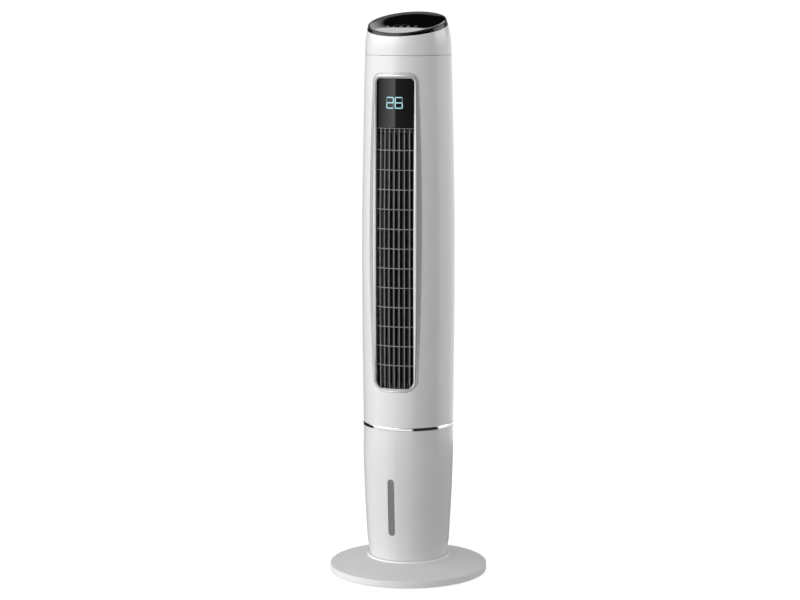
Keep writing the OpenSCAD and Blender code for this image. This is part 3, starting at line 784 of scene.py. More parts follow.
def wall(name, radius, zs, columns, hole):
    """A wall of a turned casing with a rounded hole. columns(z) gives the angles of its columns.

    The hole is its first and last column, its first and last row, the angle of its middle, half its
    width, half its height, and its corner radius.
    """
    (j0, j1), (i0, i1), middle, half_w, half_h, r = hole
    flat = [(a, z) for z in zs for a in columns(z)]
    width = len(flat) // len(zs)
    faces = []
    for i in range(len(zs) - 1):
        for j in range(width - 1):
            if not (i0 <= i < i1 and j0 <= j < j1):
                k = i * width + j
                faces.append((k, k + 1, k + width + 1, k + width))
    loop = [i * width + j for i, j in edge_of(i0, i1, j0, j1)]
    middle_z = (zs[i0] + zs[i1]) / 2
    outer = []
    for k in loop:
        a, z = flat[k]
        outer.append((radius(z) * math.sin(math.radians(a - middle)), z - middle_z))
    span_x, span_z = max(p[0] for p in outer), max(p[1] for p in outer)
    inner = [rounded(x * half_w / span_x, z * half_h / span_z, half_w, half_h, r) for x, z in outer]
    for t in (0.45, 0.8, 1.0):
        ring = []
        for (x, z), (x_in, z_in) in zip(outer, inner):
            x_mid, z_mid = x + (x_in - x) * t, middle_z + z + (z_in - z) * t
            ring.append(len(flat))
            flat.append((middle + angle_at(x_mid, radius(z_mid)), z_mid))
        for n in range(len(loop)):
            m = (n + 1) % len(loop)
            faces.append((loop[n], loop[m], ring[m], ring[n]))
        loop = ring
    piece = shape(name, [polar(radius(z), a, z) for a, z in flat], faces)
    weld(piece)
    return piece


def loop_points(half_w, bulge, z0, z1, r, sides=28, ends=10, corner=8, low_r=None):
    """A rounded rectangle whose long sides bow outwards, anticlockwise as seen from the front."""
    low_r = low_r or r
    straight = z1 - z0 - r - low_r
    right = arc(half_w - low_r, z0 + low_r, low_r, -90, 0, corner)
    right += [(half_w + bulge * (1 - (2 * i / sides - 1) ** 2), z0 + low_r + straight * i / sides)
              for i in range(1, sides)]
    right += arc(half_w - r, z1 - r, r, 0, 90, corner)
    right += [(half_w - r - (half_w - r) * i / ends, z1) for i in range(1, ends)]
    left = [(-x, z) for x, z in reversed(right)]
    bottom = [((half_w - low_r) * (i / ends), z0) for i in range(ends)]
    return bottom + right + [(0, z1)] + left + [(-x, z) for x, z in reversed(bottom[1:])]


def band(name, outer, inner, section):
    """A closed band on the upper casing, between two outlines with as many points as each other.

    The section lists the share of the way from outer to inner, a shift inwards in mm, and the height
    above the casing in mm.
    """
    rows = []
    for share, shift, height in section:
        row = []
        for (xo, zo), (xi, zi) in zip(outer, inner):
            t = share + shift * MM / math.hypot(xi - xo, zi - zo)
            x, z = xo + (xi - xo) * t, zo + (zi - zo) * t
            row.append(on_round(upper_r(z) + height * MM, x, z))
        rows.append(row)
    return hoop(name, rows)


def rear_band(name, half_w, low, high, width, corners, depths):
    """A band of one width at the rear. Its depths are those of its back and of its face, in mm."""
    outer = loop_points(half_w, 0, low, high, corners[0])
    inner = loop_points(half_w - width, 0, low + width, high - width, corners[1])
    back, face = depths
    piece = band(name, outer, inner, [(0, 0, back), (0, 0, face), (1, 0, face), (1, 0, back)])
    piece.data.transform(Matrix.Scale(-1, 4, (0, 1, 0)))
    weld(piece, outwards=True)
    return piece


def corner_steps(corner):
    """How far from a panel's end the rows of its rounded corners lie."""
    return [corner * (1 - math.cos(math.radians(a))) for a in steps(0, 90, 6)]


def half_at(z, low, high, half_w, corner):
    """Half the width, at a height, of a panel with rounded corners."""
    over = max(0, low + corner - z, z - (high - corner))
    return half_w - corner + math.sqrt(max(0, corner ** 2 - over ** 2))


def rear_rows(radius, xs, zs, corner):
    """Rows of a panel with rounded corners that follows the casing at the rear."""
    rows = []
    for z in zs:
        share = half_at(z, zs[0], zs[-1], xs[-1], corner) / xs[-1]
        rows.append([on_round(radius(z), x * share, z, 180) for x in xs])
    return rows


def in_mm(points):
    """Points given in mm, in metres."""
    return [(a * MM, b * MM) for a, b in points]


# ---------------------------------------------------------------- base and lower casing

BASE_EDGE = 14.4 * MM
DOME_R, DOME_TOP = 79 * MM, 29 * MM
BASE_WALL = 3 * MM


def make_base():
    """Round base, hollow below: a rounded edge, a domed top and a raised seat for the column."""
    low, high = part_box("base_plate")
    r, foot, top = high.x, low.z, high.z

    def dome(radius):
        share = max(0, radius - DOME_R) / (r - 1.5 * MM - DOME_R)
        return DOME_TOP - (DOME_TOP - BASE_EDGE) * share ** 1.5

    profile = [(r - 3 * MM, foot), (r - 1.2 * MM, foot)]
    profile += arc(r - 1.2 * MM, foot + 1.2 * MM, 1.2 * MM, -80, 0, 4)
    profile += arc(r - 1.6 * MM, BASE_EDGE - 1.3 * MM, 1.6 * MM, 0, 75, 6)
    profile += [(radius, dome(radius)) for radius in steps(r - 3.2 * MM, DOME_R + 1 * MM, 24)]
    profile += in_mm([(78.6, 29.5), (78.2, 30.4), (78.2, 32.2)])
    profile += [(77.6 * MM, top), (71 * MM, top)]
    profile += in_mm([(71, 30), (0, 30), (0, 27), (73.5, 27)])
    profile += [(radius, dome(radius + 2 * MM) - BASE_WALL)
                for radius in steps(DOME_R + 1 * MM, r - 4 * MM, 8)]
    # The base's material has painted light, with its sides painted whiter than its top.
    finish_piece(lathe("base_dome", profile, 288), "base_plate", angle=40, material=BASE_PAINTED_SIDE_LIGHT)


WINDOW_TURN = -4.2
WINDOW_HALF_W = 6.8 * MM
WINDOW_FLANGE = 3 * MM
WINDOW_LOW = low_high("level_window")[0] + WINDOW_FLANGE
WINDOW_HIGH = low_high("level_window")[1] - WINDOW_FLANGE
WINDOW_FIT = 0.15 * MM
BAY_HALF_W, BAY_LOW, BAY_HIGH, BAY_CORNER = 63 * MM, 50 * MM, 222 * MM, 8 * MM
GLAND_Z, GLAND_R = 252 * MM, 6.2 * MM


def make_housing():
    """The lower casing with the slot for the level window, the tank bay, the gland's hole and a floor."""
    slot_x = [x * MM for x in (-10, -6.5, -3.5, 0, 3.5, 6.5, 10)]
    bay_x = spread([-68 * MM, -BAY_HALF_W, 0, BAY_HALF_W, 68 * MM], 7 * MM)
    slot_low, slot_high = WINDOW_LOW - 4 * MM, WINDOW_HIGH + 4 * MM
    zs = spread([HOUSING_LOW, 36 * MM, 42 * MM, slot_low, slot_high, BAY_HIGH + 5 * MM,
                 GLAND_Z - 8 * MM, GLAND_Z + 8 * MM, HOUSING_HIGH - 4 * MM, HOUSING_HIGH], 6 * MM)
    side = 12  # columns between the slot and the bay

    def columns(z):
        r = lower_r(z)
        slot = [WINDOW_TURN + angle_at(x, r) for x in slot_x]
        bay = [180 + angle_at(x, r) for x in bay_x]
        left = steps(bay[-1] - 360, slot[0], side)
        right = steps(slot[-1], bay[0], side)
        return left[:-1] + slot + right[1:-1] + bay

    piece = wall("lower_casing", lower_r, zs, columns, (
        (side, side + len(slot_x) - 1), (at(zs, slot_low), at(zs, slot_high)), WINDOW_TURN,
        WINDOW_HALF_W, (WINDOW_HIGH - WINDOW_LOW) / 2, WINDOW_HALF_W - 0.1 * MM))
    thicken(piece, CASING_WALL)
    for half_w, low, high, corner in (
            (BAY_HALF_W, BAY_LOW, BAY_HIGH, BAY_CORNER),
            (GLAND_R, GLAND_Z - GLAND_R, GLAND_Z + GLAND_R, GLAND_R - 0.1 * MM)):
        outline = loop_points(half_w, 0, low, high, corner, 8, 6, 6)
        rows = [[Vector((-x, y, z)) for x, z in outline] for y in (50 * MM, 120 * MM)]
        cut(piece, solid("cutter", rows))
    deck = lathe("deck", in_mm([(0, 38), (72.4, 38), (72.4, 42), (0, 42)]), 128, closed=False)
    finish_piece(joined("lower_casing", [piece, deck]), "tank_housing", round_by=0.35 * MM)


# How far the window's contour lies inside its edge, and how far above the casing, in mm
WINDOW_SECTION = ((0, -4.6), (0, -0.35), (0.35, -0.1), (0.8, -0.1), (1.1, -0.45), (2.2, -0.5), (6.55, -0.5))


def make_level_window():
    """A stadium of grey plastic, set a little back in its slot, with a raised lip round it."""
    rows = []
    for inset, height in WINDOW_SECTION:
        shrink = WINDOW_FIT + inset * MM
        half_w = WINDOW_HALF_W - shrink
        contour = loop_points(half_w, 0, WINDOW_LOW + shrink, WINDOW_HIGH - shrink,
                              max(half_w - 0.05 * MM, 0.02 * MM), 24, 2, 10)
        rows.append([on_round(lower_r(z) + height * MM, x, z) for x, z in contour])
    piece = solid("level_glass", rows)
    piece.data.transform(Matrix.Rotation(math.radians(WINDOW_TURN), 4, "Z"))
    finish_piece(piece, "level_window", angle=50)


def make_trim_ring():
    """Chrome ring between the two casings, with softened edges."""
    low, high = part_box("trim_ring")
    r, z0, z1 = high.x, low.z, high.z
    profile = [(r - 3.6 * MM, z0), (r - 0.6 * MM, z0), (r - 0.15 * MM, z0 + 0.3 * MM), (r, z0 + 0.9 * MM),
               (r - 0.05 * MM, z1 - 1.3 * MM), (r - 0.25 * MM, z1 - 0.5 * MM), (r - 0.7 * MM, z1),
               (r - 3.6 * MM, z1)]
    finish_piece(lathe("trim_band", profile, 288), "trim_ring", angle=50)


# ---------------------------------------------------------------- upper casing

OUTLET_HALF_W, OUTLET_LOW, OUTLET_HIGH = 37 * MM, 366 * MM, 946 * MM
SPLIT_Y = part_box("front_shell")[1].y
SPLIT_GAP = 0.3 * MM
SCREW_X = 72 * MM
SCREW_LEVELS = [z * MM for z in (322, 480, 640, 800, 950)]


def split_angle(z):
    """The angle from the front at which the casing is split."""
    return 180 - math.degrees(math.acos(SPLIT_Y / upper_r(z)))


def shell_levels(low, high):
    """Heights of the rows of a half shell, with rows at the ends of its opening."""
    return spread([SHELL_LOW, SHELL_LOW + 3 * MM, low, high, SHELL_HIGH - 3 * MM, SHELL_HIGH], 8 * MM)


def make_front_shell():
    """The front half of the upper casing with the opening for the outlet."""
    half_w, low, high = 39.5 * MM, OUTLET_LOW, OUTLET_HIGH + 4 * MM
    zs = shell_levels(low, high)
    xs = spread([-58 * MM, -half_w, half_w, 58 * MM], 6 * MM)
    side = 14  # columns between the opening's surround and the split

    def columns(z):
        middle = [angle_at(x, upper_r(z)) for x in xs]
        right = steps(middle[-1], split_angle(z), side)
        return [-a for a in reversed(right)][:-1] + middle + right[1:]

    piece = wall("upper_casing_front", upper_r, zs, columns, (
        (side + at(xs, -half_w), side + at(xs, half_w)), (at(zs, low), at(zs, high)), 0,
        half_w - 0.2 * MM, (high - low) / 2 - 0.2 * MM, 12 * MM))
    thicken(piece, CASING_WALL)
    finish_piece(piece, "front_shell", round_by=0.4 * MM)


def make_rear_shell():
    """The rear half of the upper casing with the intake opening and the sunk screw holes."""
    half_w, low, high = 48 * MM, 350 * MM, 965 * MM
    zs = shell_levels(low - 6 * MM, high + 6 * MM)
    xs = spread([-54 * MM, -half_w, half_w, 54 * MM], 6 * MM)
    side = 16  # columns between the split and the opening's surround

    def columns(z):
        r = upper_r(z)
        middle = [180 + angle_at(x, r) for x in xs]
        right = steps(split_angle(z) + math.degrees(SPLIT_GAP / r), middle[0], side)
        return right[:-1] + middle + [360 - a for a in reversed(right[:-1])]

    piece = wall("upper_casing_rear", upper_r, zs, columns, (
        (side, side + len(xs) - 1), (at(zs, low - 6 * MM), at(zs, high + 6 * MM)), 180,
        half_w, (high - low) / 2, 9 * MM))
    thicken(piece, CASING_WALL)
    screws = [(x, z) for z in SCREW_LEVELS for x in (-SCREW_X, SCREW_X)]
    for x, z in screws:
        drill = lathe("drill", in_mm([(0, -30), (3.4, -30), (3.4, 30), (0, 30)]), 32, closed=False)
        drill.data.transform(Matrix.Translation((x, 54 * MM, z)) @ Matrix.Rotation(math.radians(90), 4, "X"))
        cut(piece, drill)
    wells = [screw_well(x, z) for x, z in screws]
    finish_piece(joined("upper_casing_rear", [piece] + wells), "rear_shell", round_by=0.3 * MM)


def screw_well(x, z):
    """A stepped tube for one screw, whose outer end is buried in the shell."""
    tube = lathe("well", in_mm([(1.8, 16), (4.5, 16), (4.5, 40), (3.4, 40), (3.4, 24), (1.8, 24)]), 32)
    tube.data.transform(Matrix.Translation((x, 0, z)) @ Matrix.Rotation(math.radians(-90), 4, "X"))
    for vertex in tube.data.vertices:
        if vertex.co.y > 25 * MM:
            inside = upper_r(vertex.co.z) - CASING_WALL + 0.3 * MM
            vertex.co.y = math.sqrt(inside ** 2 - vertex.co.x ** 2)
    return tube


# From outside inwards, a rounded edge, a flat land, a ridge and a slope down to the grille, as
# (share of the width, mm inwards, mm above the casing)
FRAME_SECTION = (
    (0, 0, 0.02), (0, 0, 0.5), (0, 0.35, 0.95), (0, 0.9, 1.1), (0.2, 0.9, 0.85), (0.36, 0.9, 0.7),
    (0.42, 0.9, 0.9), (0.5, 0.9, 1.28), (0.58, 0.9, 1.2), (0.8, 0.5, 0.0), (1, -0.9, -0.9),
    (1, -0.35, -1.05), (1, 0, -1.5), (1, 0, -3.2), (1, -3.1, -3.2), (1, -3.1, 0.02),
)


def make_grille_frame():
    """Chrome surround of the outlet and the display."""
    outer = loop_points(45 * MM, 6.6 * MM, FRAME_LOW, FRAME_HIGH, 18 * MM, low_r=25 * MM)
    inner = loop_points(OUTLET_HALF_W, 0, OUTLET_LOW, OUTLET_HIGH, 8 * MM, low_r=15 * MM)
    piece = band("chrome_surround", outer, inner, FRAME_SECTION)
    finish_piece(piece, "grille_frame", angle=60, material=SATIN_CHROME)


def bar(name, half, back, front, angles, zs):
    """A bar behind the casing's surface: upright where there is one angle, level where there is one z."""
    nose = min(half, front - back) * 0.95
    section = [(-half, back), (half, back)]
    section += [(half * math.cos(math.radians(a)), front - nose + nose * math.sin(math.radians(a)))
                for a in steps(0, 180, 6)]
    if len(angles) == 1:
        a = math.radians(angles[0])
        aside = Vector((math.cos(a), math.sin(a), 0))
        rows = [[polar(upper_r(z) + depth, angles[0], z) + aside * across for across, depth in section]
                for z in zs]
    else:
        r = upper_r(zs[0])
        rows = [[polar(r + depth, a, zs[0] + across) for across, depth in section] for a in angles]
    return solid(name, rows)


BAR_TOP = 850 * MM
BAR_PITCH = 36.7 * MM
BAR_COUNT = 13
RIB_TURN = 7  # degrees from rib to rib


def make_front_grille():
    """Upright ribs in front of thin cross bars, in a surround. The first bar lies right under the display."""
    outer = loop_points(40.2 * MM, 0, OUTLET_LOW - 2.7 * MM, OUTLET_HIGH + 4.7 * MM, 9.7 * MM)
    inner = loop_points(37.2 * MM, 0, OUTLET_LOW + 0.3 * MM, OUTLET_HIGH - 0.3 * MM, 8 * MM)
    section = [(0, 0, -8.5), (0, 0, -3.3), (1, -0.3, -3.3), (1, 0, -3.7), (1, 0, -8.5)]
    pieces = [band("surround", outer, inner, section)]
    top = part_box("display_window")[0].z - 0.1 * MM
    zs = spread([OUTLET_LOW - 0.5 * MM, top], 20 * MM)
    for k in range(-3, 4):
        pieces.append(bar("rib", 0.85 * MM, -8.5 * MM, -5.5 * MM, [RIB_TURN * k], zs))
    for i in range(BAR_COUNT):
        z = BAR_TOP - i * BAR_PITCH if i else top - 1.2 * MM
        reach = angle_at(37.6 * MM, upper_r(z) - 6 * MM)
        back, front = (-8.6 * MM, -5.7 * MM) if i % 2 else (-9 * MM, -6.4 * MM)
        pieces.append(bar("cross_bar", 0.8 * MM, back, front, steps(-reach, reach, 24), [z]))
    finish_piece(joined("outlet_grille", pieces), "front_grille", angle=50)


BLADE_LOW, BLADE_HIGH = 372 * MM, 842 * MM
BLADE_HALF_W, BLADE_HALF_THICK = 8.45 * MM, 0.7 * MM
BLADE_TURN = 33
PIVOT_R = 1.6 * MM


def make_louver(k):
    """A blade with a lens section, its two pivots, its crank arm and its crank pin."""
    node = f"louver_{k}"
    x, y, _ = JOINTS[f"louver_{'abcdefg'[k - 1]}_swing"]["pos_m"]
    low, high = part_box(node)
    section = [(side * BLADE_HALF_THICK * (1 - t * t) ** 0.62, -side * t * BLADE_HALF_W)
               for side in (1, -1) for t in steps(-0.98, 0.98, 12)]
    levels = [BLADE_LOW, BLADE_LOW + 0.5 * MM, BLADE_LOW + 160 * MM,
              BLADE_HIGH - 160 * MM, BLADE_HIGH - 0.5 * MM, BLADE_HIGH]
    rows = []
    for z in levels:
        thin, narrow = (0.9, 0.98) if z in (BLADE_LOW, BLADE_HIGH) else (1, 1)
        rows.append([Vector((a * thin, b * narrow, z)) for a, b in section])
    pieces = [
        solid("blade", rows),
        rod("foot", 0, low.z, BLADE_LOW + 1 * MM, PIVOT_R),
        rod("head", 0, BLADE_HIGH - 1 * MM, high.z, PIVOT_R),
        rod("collar", 0, BLADE_HIGH - 1 * MM, BLADE_HIGH + 0.6 * MM, 2.4 * MM),
        rod("crank", 7 * MM, 362.2 * MM, BLADE_LOW, 1.0 * MM),
        block("arm", (-2 * MM, -2.5 * MM, BLADE_LOW - 2 * MM), (2 * MM, 8.5 * MM, BLADE_LOW + 0.2 * MM)),
    ]
    piece = joined(f"louver_blade_{k}", pieces)
    piece.data.transform(Matrix.Translation((x, y, 0)) @ Matrix.Rotation(math.radians(BLADE_TURN), 4, "Z"))
    finish_piece(piece, node, angle=45, material=BLADE_GREY)


def make_display():
    """Curved black window with rounded upper corners."""
    low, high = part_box("display_window")
    half_w, corner, shoulder = OUTLET_HALF_W - 0.15 * MM, 8 * MM, high.z - 8 * MM
    zs = spread([low.z, shoulder], 10 * MM)
    zs += [shoulder + corner * math.sin(math.radians(a)) for a in steps(0, 90, 8)[1:]]
    rows = []
    for z in zs:
        half = half_at(z, low.z - corner, high.z, half_w, corner)
        rows.append([on_round(upper_r(z) - 4.5 * MM, x, z) for x in steps(-half, half, 30)])
    piece = grid("display_glass", rows)
    thicken(piece, 2.9 * MM)
    finish_piece(piece, "display_window", round_by=0.25 * MM)


# Segments of a seven-bar digit as (x, z) ends in digit units, and the ones that each digit lights
SEGMENTS = {
    "top": ((0, 2), (1, 2)), "middle": ((0, 1), (1, 1)), "bottom": ((0, 0), (1, 0)),
    "upper_left": ((0, 1), (0, 2)), "upper_right": ((1, 1), (1, 2)),
    "lower_left": ((0, 0), (0, 1)), "lower_right": ((1, 0), (1, 1)),
}
DIGIT_HEIGHT = 21.6 * MM
DIGIT_GAP = 1.8 * MM
SEGMENT_WIDTH = 1.9 * MM
DIGIT_FACE = 4.3 * MM
DIGIT_BACK = 4.46 * MM
LIT = {
    2: ("top", "upper_right", "middle", "lower_left", "bottom"),
    6: ("top", "upper_left", "middle", "lower_left", "lower_right", "bottom"),
}

def on_glass(point, below):
    """A point given by x and z, at a depth below the casing's surface."""
    return on_round(upper_r(point.y) - below, point.x, point.y)


def digit_strip(a, b):
    """One segment from a to b, pointed at both ends, bent to the curve of the display."""
    half = SEGMENT_WIDTH / 2
    along = (b - a).normalized()
    across = Vector((-along.y, along.x)) * SEGMENT_WIDTH / 2
    length = (b - a).length
    stations = [(0, 0.1)] + [(reach, 1) for reach in steps(half, length - half, 8)] + [(length, 0.1)]
    rows = []
    for reach, share in stations:
        left, right = a + along * reach - across * share, a + along * reach + across * share
        rows.append([on_glass(left, DIGIT_BACK), on_glass(left, DIGIT_FACE),
                     on_glass(right, DIGIT_FACE), on_glass(right, DIGIT_BACK)])
    return solid("segment", rows)


def make_digits():
    """The lit segments of 26, and the unlit ones that glow faintly beside them."""
    low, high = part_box("display_digits")
    half = SEGMENT_WIDTH / 2
    foot = high.z - DIGIT_HEIGHT
    width = (high.x - low.x - DIGIT_GAP) / 2 - SEGMENT_WIDTH
    height = (DIGIT_HEIGHT - SEGMENT_WIDTH) / 2
    lit, unlit = [], []
    for digit, x0 in ((2, low.x + half), (6, high.x - half - width)):
        for segment, ends in SEGMENTS.items():
            a, b = [Vector((x0 + x * width, foot + half + z * height)) for x, z in ends]
            (lit if segment in LIT[digit] else unlit).append(digit_strip(a, b))
    finish_piece(joined("lit_digits", lit), "display_digits", angle=30)
    finish_piece(joined("unlit_segments", unlit), "display_digits", angle=30, material=LED_FAINT)


# ---------------------------------------------------------------- head and touch panel

HEAD_COLUMNS = all_round(256)


def make_head():
    """White head: its upper edge lies on the slanted plane, its lower edge on the seam."""

    def row(share, inset):
        points = []
        for degrees in HEAD_COLUMNS:
            z = HEAD_SEAM + (on_slant(HEAD_TOP, degrees, inset).z - HEAD_SEAM) * share
            points.append(polar(head_r(z) - inset, degrees, z))
        return points

    rows = [row(0, 0.4 * MM), row(0.004, 0.1 * MM), row(0.02, 0)]
    rows += [row(share, 0) for share in steps(0.05, 0.95, 18)]
    rows += [row(0.985, 0.02 * MM), row(1, 0.35 * MM)]
    rows += [row(share, CASING_WALL) for share in (1, 0.6, 0.3, 0)]
    outside = hoop("head_wall", rows)
    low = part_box("head_cap")[0].z
    lap = lathe("lap", [(76.8 * MM, low), (78.9 * MM, low), (78.9 * MM, HEAD_SEAM + 0.2 * MM),
                        (79.3 * MM, HEAD_SEAM + 0.3 * MM), (79.3 * MM, 998 * MM), (76.8 * MM, 998 * MM)], 192)
    finish_piece(joined("head_casing", [outside, lap]), "head_cap", angle=50)


# (plane, inset, sink) in mm, from the lower outer corner up the outside and back down the inside
RIM_SECTION = (
    (HEAD_TOP, 0.05, -0.1), (RIM_TOP, 0.0, 0.9), (RIM_TOP, 0.12, 0.4), (RIM_TOP, 0.5, 0.06),
    (RIM_TOP, 0.9, 0.0), (RIM_TOP, 1.45, 0.12), (RIM_TOP, 1.5, 0.4), (RIM_TOP, 1.5, 3.0),
    (RIM_TOP, 4.2, 3.0), (HEAD_TOP, 4.2, -0.1),
)


def make_rim():
    """Black rim: a closed section swept round the head between the two slanted planes."""
    rows = [[on_slant(plane, a, inset * MM, sink * MM) for a in HEAD_COLUMNS]
            for plane, inset, sink in RIM_SECTION]
    finish_piece(hoop("control_collar", rows), "control_rim", angle=50, material=RIM_BLACK)


PANEL_INSET = 1.65 * MM
PANEL_RISE = 1.8 * MM
PANEL_DEPTH = 2.9 * MM
DOME_DROP, DOME_START = 0.7 * MM, 0.6
EDGE_START = 0.966
FOLD_Y = -45 * MM
FOLD_SOFTNESS = 0.1 * MM
FOLD_END = 20  # beyond this many softnesses the fold makes no difference


def crown(point, share):
    """Height of the glass above its rim: a slight dome, a rounded edge and a flat facet along the front."""
    over = max(0, share - DOME_START) / (1 - DOME_START)
    edge = max(0, share - EDGE_START) / (1 - EDGE_START)
    roll = 1 - math.sqrt(max(0, 1 - edge ** 2))
    dome = PANEL_RISE - DOME_DROP * over ** 2 - (PANEL_RISE - DOME_DROP) * roll
    front = on_slant(RIM_TOP, 0, PANEL_INSET).y
    facet = PANEL_RISE * (point.y - front) / (FOLD_Y - front)
    gap = (facet - dome) / FOLD_SOFTNESS
    if gap > FOLD_END:
        return dome
    return max(0, facet - FOLD_SOFTNESS * math.log(1 + math.exp(max(gap, -FOLD_END))))


def panel_point(degrees, share, lift=0.0):
    """A point of the glass, at a share of the way from its middle to its edge."""
    edge = on_slant(RIM_TOP, degrees, PANEL_INSET, 0.3 * MM)
    middle = Vector((0, 0, RIM_TOP.axis_z - 0.3 * MM))
    point = middle + (edge - middle) * share
    point.z += crown(point, share) + lift
    return point


def make_touch_panel():
    """Black glass, flat in the middle and rolled down towards its edge."""
    shares = [0, 0.2, 0.35, 0.45] + steps(0.5, EDGE_START, 44) + steps(EDGE_START, 0.999, 8)[1:]
    rows = [[panel_point(a, share) for a in HEAD_COLUMNS] for share in shares]
    rows.append([panel_point(a, 1, -0.25 * MM) for a in HEAD_COLUMNS])
    for share in (1, 0):
        points = [panel_point(a, share) for a in HEAD_COLUMNS]
        rows.append([Vector((p.x, p.y, RIM_TOP.height(p.y) - PANEL_DEPTH)) for p in points])
    finish_piece(solid("touch_glass", rows, caps=False), "touch_panel", angle=60)


MARK_LOW, MARK_HIGH = -0.05 * MM, 0.12 * MM


def mark(name, outline):
    """A thin printed shape that lies on the glass. The outline is in X and Y, in mm."""
    rows = []
    for lift in (MARK_LOW, MARK_HIGH):
        row = []
        for x, y in outline:
            degrees = math.degrees(math.atan2(x, -y))
            edge = on_slant(RIM_TOP, degrees, PANEL_INSET)
            share = math.hypot(x, y) * MM / math.hypot(edge.x, edge.y)
            row.append(panel_point(degrees, share, lift))
        rows.append(row)
    return solid(name, rows)


def mark_box(name, x0, y0, x1, y1):
    return mark(name, [(x0, y0), (x1, y0), (x1, y1), (x0, y1)])


def mark_ring(name, x, y, r, width, a0=0, a1=360, n=24):
    """A round or open ring, as a row of short bars that join."""
    outer, inner = arc(x, y, r, a0, a1, n), arc(x, y, r - width, a0, a1, n)
    return [mark(name, [outer[i], outer[i + 1], inner[i + 1], inner[i]]) for i in range(n)]


def make_key_marks():
    """Generic marks of the touch keys: a power ring, a swing arc, a drop, a clock, speed bars and lights."""
    marks = mark_ring("power", 0, -41, 2.6, 0.7, 125, 415, 18)
    marks.append(mark_box("power", -0.35, -40.6, 0.35, -37.6))
    marks += mark_ring("swing", -14, -40, 2.6, 0.6, 30, 150, 8)
    marks += mark_ring("swing", -14, -42.5, 2.2, 0.6, 210, 330, 8)
    marks += mark_ring("clock", 14, -40.5, 2.6, 0.6)
    marks.append(mark_box("clock", 13.7, -40.8, 14.3, -38.8))
    marks.append(mark_box("clock", 13.7, -40.8, 15.6, -40.2))
    marks.append(mark("drop", arc(-27, -39.5, 1.9, -210, 30, 12) + [(-27, -35.6)]))
    for i in range(3):
        x = 25 + 1.8 * i
        marks.append(mark_box("speed", x, -40.5, x + 1, -38.9 + i))
    for i in range(5):
        marks += mark_ring("light", -12 + 6 * i, -31, 0.7, 0.69, n=8)
    piece = joined("key_marks", marks)
    for polygon in piece.data.polygons:
        polygon.use_smooth = False
    piece.data.materials.append(KEY_PRINT)
    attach(piece, "casing")


# ---------------------------------------------------------------- rear

def make_rear_grille():
    """Rear intake panel with fifty rows of slots and a frame behind it."""
    low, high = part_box("rear_grille")
    half_w, corner = 47.5 * MM, 8.5 * MM
    first, pitch, opening, count = 372 * MM, 11.4 * MM, 6.6 * MM, 50
    curve = corner_steps(corner)
    slot_edges = [first + i * pitch + d for i in range(count) for d in (0, opening)]
    zs = [low.z + c for c in curve] + slot_edges + [slot_edges[-1] + 9 * MM]
    zs += [high.z - c for c in reversed(curve)]
    ends = [-42 * MM, -16 * MM, -13 * MM, 13 * MM, 16 * MM, 42 * MM]
    slots = list(zip(ends[::2], ends[1::2]))
    xs = spread([-half_w] + ends + [half_w], 4.4 * MM)
    open_rows = {len(curve) + 2 * i for i in range(count)}

    def skip(i, j):
        middle = (xs[j] + xs[j + 1]) / 2
        return i in open_rows and any(a < middle < b for a, b in slots)

    face = grid("intake_face", rear_rows(upper_r, xs, zs, corner), skip=skip)
    thicken(face, CASING_WALL)
    back = rear_band("intake_frame", 47 * MM, 351 * MM, 964 * MM, 2 * MM, (8 * MM, 6 * MM), (-6, -2))
    finish_piece(joined("intake_panel", [face, back]), "rear_grille", round_by=0.5 * MM)


def make_dust_filter():
    """Pleated filter cloth in a thin border."""
    low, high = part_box("dust_filter")
    half, border_w = high.x - 0.2 * MM, 3 * MM
    xs = spread([-half, half], 1.25 * MM)
    rows = []
    for z in spread([low.z + border_w, high.z - border_w], 30 * MM):
        ridge, valley = upper_r(z) - 3.3 * MM, upper_r(z) - 4.6 * MM
        rows.append([on_round(ridge if j % 2 else valley, x, z, 180) for j, x in enumerate(xs)])
    cloth = grid("cloth", rows)
    modify(cloth, "SOLIDIFY", thickness=0.3 * MM, offset=0)
    border = rear_band("border", half, low.z, high.z, border_w, (5.8 * MM, 3 * MM), (-5.4, -2.8))
    finish_piece(joined("filter_cloth", [cloth, border]), "dust_filter", angle=20)


def face_rearwards(piece):
    """Turns all faces of a surface the same way, outwards at the rear."""
    bm = bmesh.new()
    bm.from_mesh(piece.data)
    bmesh.ops.recalc_face_normals(bm, faces=bm.faces)
    if sum(face.normal.y * face.calc_area() for face in bm.faces) < 0:
        bmesh.ops.reverse_faces(bm, faces=bm.faces)
    bm.to_mesh(piece.data)
    bm.free()


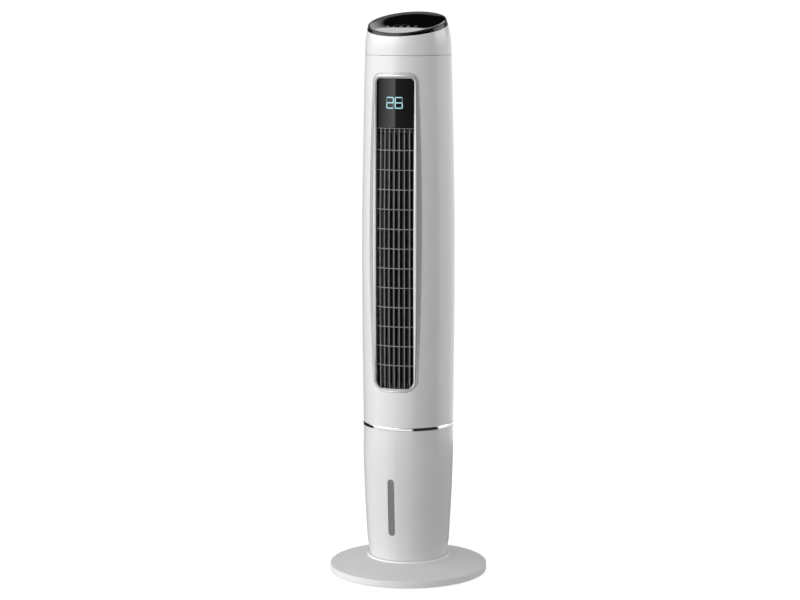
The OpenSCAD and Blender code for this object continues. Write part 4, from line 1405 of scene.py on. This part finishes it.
def make_tank_panel():
    """Rear face of the water tank, with a finger recess and three shelves that join it to the tank."""
    low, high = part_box("tank_panel")
    half_w, corner = 62.4 * MM, 7.4 * MM
    grip_w, grip_z0, grip_z1, grip_y = 24 * MM, 186 * MM, 208 * MM, 60.2 * MM
    curve = corner_steps(corner)
    zs = [low.z + c for c in curve]
    zs += spread([low.z + corner, grip_z0, grip_z1, high.z - corner], 8 * MM)[1:-1]
    zs += [high.z - c for c in reversed(curve)]
    xs = spread([-half_w, -grip_w, grip_w, half_w], 6 * MM)
    rows = rear_rows(lower_r, xs, zs, corner)
    i0, i1, j0, j1 = at(zs, grip_z0), at(zs, grip_z1), at(xs, -grip_w), at(xs, grip_w)
    face = grid("face", rows, skip=lambda i, j: i0 <= i < i1 and j0 <= j < j1)
    sunk = [[Vector((rows[i][j].x, grip_y, zs[i])) for j in range(j0, j1 + 1)] for i in range(i0, i1 + 1)]
    edge = edge_of(i0, i1, j0, j1)
    sides = grid("sides", [[rows[i][j] for i, j in edge], [sunk[i - i0][j - j0] for i, j in edge]],
                 close_columns=True)
    whole = joined("tank_face", [face, sides, grid("recess", sunk)])
    weld(whole)
    face_rearwards(whole)
    thicken(whole, 2.2 * MM)
    shelves = [block("shelf", (-48 * MM, 48.4 * MM, z * MM), (48 * MM, 56.5 * MM, (z + 2) * MM))
               for z in (60, 118, 176)]
    finish_piece(joined("tank_face", [whole] + shelves), "tank_panel", round_by=0.5 * MM)


def make_cooling_pad():
    """Corrugated paper sheets that lean left and right in turn, glued face to face."""
    low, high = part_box("cooling_pad")
    count, pitch = 12, 12 * MM
    thick = (high.x - low.x) / count
    zs = steps(low.z, high.z, int((high.z - low.z) / (2 * MM)))
    ys = steps(low.y, high.y, 6)
    swing = thick / 2 - 0.3 * MM
    sheets = []
    for k in range(count):
        middle = low.x + (k + 0.5) * thick
        lean = 1 if k % 2 else -1

        def x_at(y, z):
            return middle + swing * math.sin(2 * math.pi * (z + lean * (y - low.y)) / pitch)

        sheets.append(grid("sheet", [[Vector((x_at(y, z), y, z)) for y in ys] for z in zs]))
    piece = joined("corrugated_pad", sheets)
    modify(piece, "SOLIDIFY", thickness=0.45 * MM, offset=0)
    finish_piece(piece, "cooling_pad", angle=60)


# ---------------------------------------------------------------- the whole scene

def main():
    make_camera()
    make_studio()
    make_floor()
    dress_cad_nodes()
    make_base()
    make_housing()
    make_level_window()
    make_trim_ring()
    make_front_shell()
    make_rear_shell()
    make_grille_frame()
    make_front_grille()
    for k in range(1, 8):
        make_louver(k)
    make_display()
    make_digits()
    make_head()
    make_rim()
    make_touch_panel()
    make_key_marks()
    make_rear_grille()
    make_dust_filter()
    make_tank_panel()
    make_cooling_pad()
    for node in ("rubber_feet", "cord_gland", "water_tank", "tank_lid", "pump", "pump_strainer", "pad_frame",
                 "water_distributor", "drip_tray"):
        refine(node)


main()
